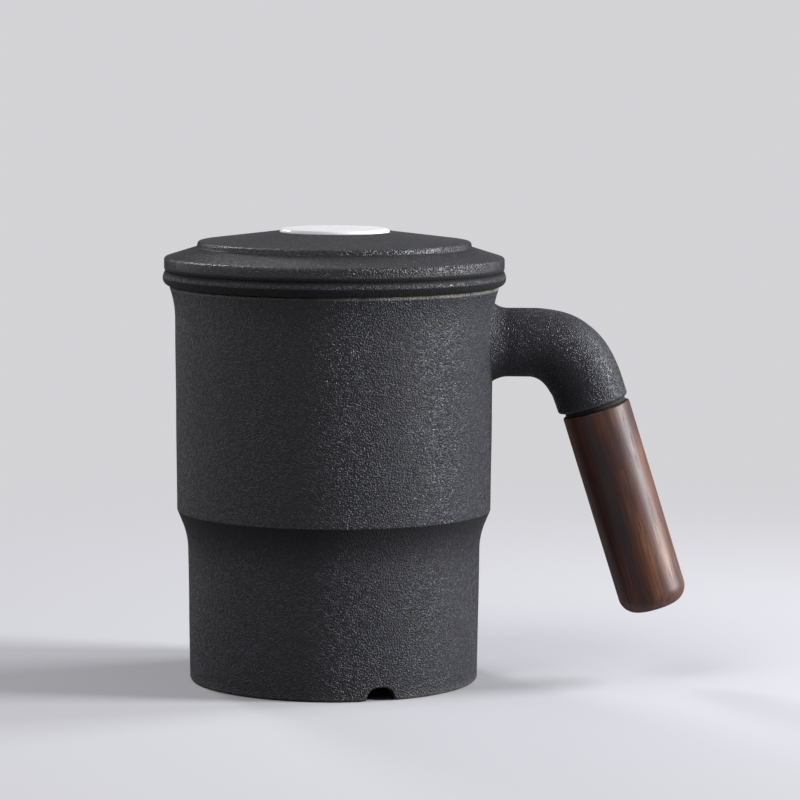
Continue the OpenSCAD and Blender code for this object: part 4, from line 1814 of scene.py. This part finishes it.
@dataclass
class Lid:
    """The stepped, crowned lid and its porcelain disc, in mm.

    Attributes:
        seat_z: Height of the flange that it lies on.
        radius: Radius of the upright band.
        band_h: Height of the band.
        band_edge_r: Radius of the band's upper edge.
        seat_edge_r: Radius of the band's lower edge.
        riser_r: Radius at the foot of the riser.
        border_rise: Rise of the sloping border.
        riser_h: Height of the riser.
        riser_lean: Lean of the riser's face from the vertical, in degrees.
        crown_rise: Rise of the crown.
        edge_r: Radius of the riser's rounded edge.
        hollow_h: Height of the hollow underneath.
        hollow_corner_r: Radius of the corner round the hollow's top.
        crease_r: Radius that the glaze leaves in the crease at the riser's foot.
        spigot_r: Radius of the spigot.
        spigot_h: Depth of the spigot.
        spigot_t: Thickness of the spigot.
        spigot_root_r: Radius of the corner where it leaves the lid.
        spigot_edge_r: Radius of its edges.
        spigot_thin: How thin the glaze is on them.
        recess_corner_r: Radius of the corner round the disc's recess.
        recess_edge_r: Radius of the recess's edge.
        recess_thin: How thin the glaze is there.
        inlay_r: Radius of the disc.
        inlay_t: Thickness of the disc's edge.
        inlay_edge_r: Radius of the disc's lower edge.
        inlay_dome: Height of the disc's middle over its edge.
        inlay_shoulder: Height of the disc's rounded shoulder over its edge.
        inlay_shoulder_r: Radius of that shoulder.
        inlay_brow: Where the disc's face bends, as shares of its radius and of its dome.
        inlay_brow_r: Radius of that bend.
        inlay_fit: Clearance round the disc.
        inlay_sink: How far its edge lies below the crown.
        bond_t: Thickness of the adhesive under the disc.
        columns: Number of columns of vertices round the lid.
        inlay_columns: The same for the disc.
    """

    seat_z: float = 110.4
    radius: float = 45.65
    band_h: float = 3.6
    band_edge_r: float = 0.9
    seat_edge_r: float = 0.9
    riser_r: float = 36.9
    border_rise: float = 2.75
    riser_h: float = 1.5
    riser_lean: float = 10.0
    crown_rise: float = 2.7
    edge_r: float = 0.8
    hollow_h: float = 4.2
    hollow_corner_r: float = 3.3
    crease_r: float = 0.35
    spigot_r: float = 35.385
    spigot_h: float = 6.0
    spigot_t: float = 3.0
    spigot_root_r: float = 0.4
    spigot_edge_r: float = 0.7
    spigot_thin: float = 0.35
    recess_corner_r: float = 0.2
    recess_edge_r: float = 0.35
    recess_thin: float = 0.1
    inlay_r: float = 14.8
    inlay_t: float = 1.6
    inlay_edge_r: float = 0.25
    inlay_dome: float = 1.45
    inlay_shoulder: float = 1.2
    inlay_shoulder_r: float = 1.15
    inlay_brow: tuple[float, float] = (0.5, 0.97)
    inlay_brow_r: float = 60.0
    inlay_fit: float = 0.25
    inlay_sink: float = 0.45
    bond_t: float = 0.35
    columns: int = 224
    inlay_columns: int = 128

    @property
    def crown_z(self) -> float:
        """Height of the riser's upper edge."""
        return self.seat_z + self.band_h + self.border_rise + self.riser_h

    @property
    def inlay_edge_z(self) -> float:
        """Height of the disc's upper edge."""
        return self.crown_z + self.crown_rise - self.inlay_sink

    def lid_corners(self) -> list[Corner]:
        """Lists the corners of the lid's outline, from the disc's recess to the middle of the hollow.

        Returns:
            The corners.
        """
        recess_r = self.inlay_r + self.inlay_fit
        recess_z = self.inlay_edge_z - self.inlay_t - self.bond_t
        border_z = self.seat_z + self.band_h
        spigot_z = self.seat_z - self.spigot_h
        spigot_in_r = self.spigot_r - self.spigot_t
        hollow_z = self.seat_z + self.hollow_h
        crown_r = self.riser_r - self.riser_h * math.tan(math.radians(self.riser_lean))
        return [
            Corner(0, recess_z),
            Corner(recess_r, recess_z, self.recess_corner_r),
            Corner(recess_r, self.crown_z + self.crown_rise, self.recess_edge_r, self.recess_thin),
            Corner(crown_r, self.crown_z, self.edge_r),
            Corner(self.riser_r, border_z + self.border_rise, self.crease_r),
            Corner(self.radius, border_z, self.band_edge_r),
            # Painted shade: the band's lower edge, in the groove over the flange, is darkened toward the
            # darkest glaze colour
            Corner(self.radius, self.seat_z, self.seat_edge_r, PAINTED_SHADE),
            Corner(self.spigot_r, self.seat_z, self.spigot_root_r),
            Corner(self.spigot_r, spigot_z, self.spigot_edge_r, self.spigot_thin),
            Corner(spigot_in_r, spigot_z, self.spigot_edge_r, self.spigot_thin),
            Corner(spigot_in_r, hollow_z, self.hollow_corner_r),
            Corner(0, hollow_z),
        ]

    def inlay_corners(self) -> list[Corner]:
        """Lists the corners of the disc's outline.

        Returns:
            The corners.
        """
        under_z = self.inlay_edge_z - self.inlay_t
        share, height = self.inlay_brow
        brow_z = self.inlay_edge_z + self.inlay_dome * height
        return [
            Corner(0, under_z),
            Corner(self.inlay_r, under_z, self.inlay_edge_r),
            Corner(self.inlay_r, self.inlay_edge_z + self.inlay_shoulder, self.inlay_shoulder_r),
            Corner(self.inlay_r * share, brow_z, self.inlay_brow_r),
            Corner(0, self.inlay_edge_z + self.inlay_dome),
        ]

    def build(
        self, glaze: bpy.types.Material, porcelain: bpy.types.Material, bond: bpy.types.Material
    ) -> None:
        """Makes the lid and its disc, and dresses the adhesive.

        Args:
            glaze: The lid's finish.
            porcelain: The disc's finish.
            bond: The adhesive's finish.
        """
        turned = lathe(Tracer().trace(self.lid_corners()), round_about(self.columns))
        piece = HandWork(depth=0.06, seed=5.3).apply(turned).build("crowned_lid")
        settle(piece, glaze, Body.LID, "lid")
        disc = lathe(Tracer(step=1.2).trace(self.inlay_corners()), round_about(self.inlay_columns))
        settle(disc.build("porcelain_disc"), porcelain, Body.LID, "lid_inlay")
        dress("inlay_bond", bond)


# ---------------------------------------------------------------------------------------------------------
# Stage
# ---------------------------------------------------------------------------------------------------------


@dataclass(frozen=True)
class SoftBox:
    """A rectangular studio light.

    Attributes:
        name: The light's name.
        azimuth: Its direction from the object, in degrees from the front towards +X.
        elevation: Its direction above the horizon, in degrees.
        distance: Its distance, in metres.
        width: Its width, in metres.
        height: Its height, in metres.
        power: Its power, in watts.
        colour: Its colour.
    """

    name: str
    azimuth: float
    elevation: float
    distance: float
    width: float
    height: float
    power: float
    colour: Colour = (1.0, 1.0, 1.0)

    def build(self, target: Vector) -> None:
        """Makes the light and turns it to a point.

        Args:
            target: The point that it faces.
        """
        light = bpy.data.lights.new(self.name, "AREA")
        light.shape = "RECTANGLE"
        light.size = self.width
        light.size_y = self.height
        light.energy = self.power
        light.color = self.colour
        lamp = bpy.data.objects.new(self.name, light)
        bpy.context.scene.collection.objects.link(lamp)
        a, e = math.radians(self.azimuth), math.radians(self.elevation)
        away = Vector((math.sin(a) * math.cos(e), -math.cos(a) * math.cos(e), math.sin(e)))
        lamp.location = target + away * self.distance
        lamp.rotation_euler = (-away).to_track_quat("-Z", "Y").to_euler()


@dataclass(frozen=True)
class Studio:
    """Floor, background, lights and camera.

    Attributes:
        pale: Colour of the floor and the background.
        floor_r: Radius of the floor, in metres.
        floor_z: Height of the floor, just clear of the foot, in metres.
        floor_sides: Number of sides of the floor.
        fade: Distances over which the lit floor passes into the even background, in metres.
        bounce: Colour of the floor as the object feels it.
        ambient: Strength of the even light from all round.
        focal_px: Focal length, in pixels of the square frame.
        frame_px: Width of the frame, in pixels.
        sensor: Width of the camera's sensor, in mm.
        clip: Distances between which the camera sees, in metres.
        eye: Where the camera stands, in metres.
        pitch: How far the camera looks down, in degrees.
        yaw: How far it turns towards +X, in degrees.
        roll: How far it leans, in degrees.
        lights: The studio's lights.
    """

    pale: Colour = (0.655, 0.65, 0.675)
    floor_r: float = 8.0
    floor_z: float = -0.00002
    floor_sides: int = 96
    fade: tuple[float, float] = (0.05, 0.50)
    bounce: Colour = (0.06, 0.06, 0.06)
    ambient: float = 0.04
    focal_px: float = 3811.5
    frame_px: float = 800.0
    sensor: float = 36.0
    clip: tuple[float, float] = (0.05, 50.0)
    eye: tuple[float, float, float] = (0.0, -1.02058, 0.18271)
    pitch: float = 5.9966
    yaw: float = 0.9947
    roll: float = 0.2440
    lights: tuple[SoftBox, ...] = (
        SoftBox("key_right", 82.0, 12.0, 1.0, 0.26, 0.4, 18.0, COOL_LIGHT),
        SoftBox("top_left", -50.0, 54.0, 1.0, 0.6, 0.6, 3.8, WARM_LIGHT),
        SoftBox("rim_left", -105.0, 20.0, 1.0, 0.3, 0.4, 0.5, WARM_LIGHT),
        SoftBox("overhead", 0.0, 85.0, 1.0, 0.4, 0.4, 0.4, WARM_LIGHT),
        SoftBox("back_left", -150.0, 30.0, 1.0, 0.2, 0.2, 2.6, WARM_LIGHT),
        SoftBox("back_right", 110.0, 35.0, 1.0, 0.3, 0.3, 4.5, COOL_LIGHT),
    )

    def camera(self) -> None:
        """Makes the camera."""
        data = bpy.data.cameras.new("camera")
        data.sensor_width = self.sensor
        data.lens = self.focal_px * self.sensor / self.frame_px
        data.clip_start, data.clip_end = self.clip
        pitch, yaw, roll = (math.radians(v) for v in (self.pitch, self.yaw, self.roll))
        ahead = Vector((math.sin(yaw) * math.cos(pitch), math.cos(yaw) * math.cos(pitch), -math.sin(pitch)))
        level = Vector((math.cos(yaw), -math.sin(yaw), 0))
        above = level.cross(ahead)
        right = level * math.cos(roll) + above * math.sin(roll)
        up = above * math.cos(roll) - level * math.sin(roll)
        camera = bpy.data.objects.new("camera", data)
        camera.matrix_world = Matrix.Translation(self.eye) @ Matrix((right, up, -ahead)).transposed().to_4x4()
        bpy.context.scene.collection.objects.link(camera)
        bpy.context.scene.camera = camera

    @staticmethod
    def looks(tree: Tree) -> Socket:
        """Gives 1 for the rays that show the stage: those from the camera, mirrored or passed on by glass.

        Args:
            tree: The material or world that asks.

        Returns:
            The mask.
        """
        path = tree.add("LightPath").outputs
        bent = tree.math("MAXIMUM", path["Is Glossy Ray"], path["Is Transmission Ray"])
        return tree.math("MAXIMUM", path["Is Camera Ray"], bent)

    def floor(self) -> None:
        """Makes the floor, which is pale to the eye and grey to the object."""
        bpy.ops.mesh.primitive_circle_add(
            vertices=self.floor_sides, radius=self.floor_r, fill_type="NGON", location=(0, 0, self.floor_z)
        )
        floor = bpy.context.object
        floor.name = "floor"
        material = bpy.data.materials.new("pale_floor")
        material.use_nodes = True
        tree = Tree(material.node_tree)
        place = tree.add("TexCoord").outputs["Object"]
        seen = tree.add("BsdfDiffuse", {"Color": (*self.pale, 1.0)})
        felt = tree.add("BsdfDiffuse", {"Color": (*self.bounce, 1.0)})
        far = tree.add("Emission", {"Color": (*self.pale, 1.0)})
        distance = tree.add("VectorMath", {0: place}, operation="LENGTH").outputs["Value"]
        places = {"Value": distance, 1: self.fade[0], 2: self.fade[1]}
        fade = tree.add("MapRange", places, interpolation_type="SMOOTHERSTEP").outputs[0]
        whole = tree.add("MixShader", {0: fade, 1: seen.outputs[0], 2: far.outputs[0]})
        whole = tree.add("MixShader", {0: self.looks(tree), 1: felt.outputs[0], 2: whole.outputs[0]})
        tree.add("OutputMaterial", {"Surface": whole.outputs[0]})
        floor.data.materials.append(material)

    def world(self) -> None:
        """Makes the background: pale to the eye, dim to the object."""
        world = bpy.data.worlds.new("studio")
        world.use_nodes = True
        bpy.context.scene.world = world
        tree = Tree(world.node_tree)
        looks = self.looks(tree)
        strength = tree.span(looks, 0.0, 1.0, self.ambient, 1.0)
        colour = tree.mix(looks, (1.0, 1.0, 1.0), self.pale)
        back = tree.add("Background", {"Color": colour, "Strength": strength})
        tree.add("OutputWorld", {"Surface": back.outputs[0]})

    def build(self, target: Vector) -> None:
        """Sets the whole stage.

        Args:
            target: The point that the lights face.
        """
        self.camera()
        self.floor()
        self.world()
        for light in self.lights:
            light.build(target)
        bpy.context.scene.view_settings.view_transform = "Standard"


def clear_scene() -> None:
    """Takes Blender's own starting objects out, and leaves the frame."""
    kept = set(frame["nodes"].values()) | set(frame["bodies"].values())
    for other in [o for o in bpy.data.objects if o not in kept]:
        bpy.data.objects.remove(other)


def main() -> None:
    """Builds the mug's sub-assemblies in order, then the stage."""
    logging.basicConfig(level=logging.INFO, format="%(name)s: %(message)s")
    clear_scene()
    effects = Effects()
    cup = Cup()
    arm = Arm(cup)
    cup.build(Stoneware("cup_glaze").build(effects))
    arm.build(Stoneware("arm_glaze", roughness=0.36, tooth=0.00021).build(effects))
    upright_x = arm.joint.translation.x * math.cos(math.radians(arm.lean))
    upright_x += arm.joint.translation.z * math.sin(math.radians(arm.lean))
    Grip(arm.joint).build(
        OiledWood("oiled_wood", lean=arm.lean, axis_x=upright_x * MM).build(effects),
        Plain(
            "black_rubber",
            roughness=0.85,
            colour=(0.004, 0.004, 0.0045),
            speck=(0.007, 0.007, 0.0075),
            speck_scale=1400.0,
        ).build(effects),
        Plain(
            "turned_steel",
            roughness=0.32,
            colour=(0.56, 0.56, 0.57),
            speck=(0.48, 0.48, 0.49),
            speck_scale=1600.0,
            metallic=1.0,
            tooth=0.00001,
        ).build(effects),
    )
    Infuser().build(Stoneware("infuser_glaze").build(effects))
    Lid().build(
        Stoneware(
            "lid_glaze",
            roughness=0.25,
            specular=0.42,
            dulling=0.74,
            dull_slants=(0.56, 0.86),
            # Painted shade: the lid's glaze colour is darker than the cup's same glaze, to offset the light on
            # its top
            light=(0.014, 0.0137, 0.0205),
            tooth=0.00022,
        ).build(effects),
        Porcelain("white_porcelain").build(effects),
        Plain(
            "cured_adhesive",
            roughness=0.5,
            colour=(0.60, 0.58, 0.52),
            speck=(0.54, 0.52, 0.46),
            speck_scale=700.0,
        ).build(effects),
    )
    low, high = CAD_BOX
    Studio().build((low + high) / 2)


if __name__ == "__main__":
    main()
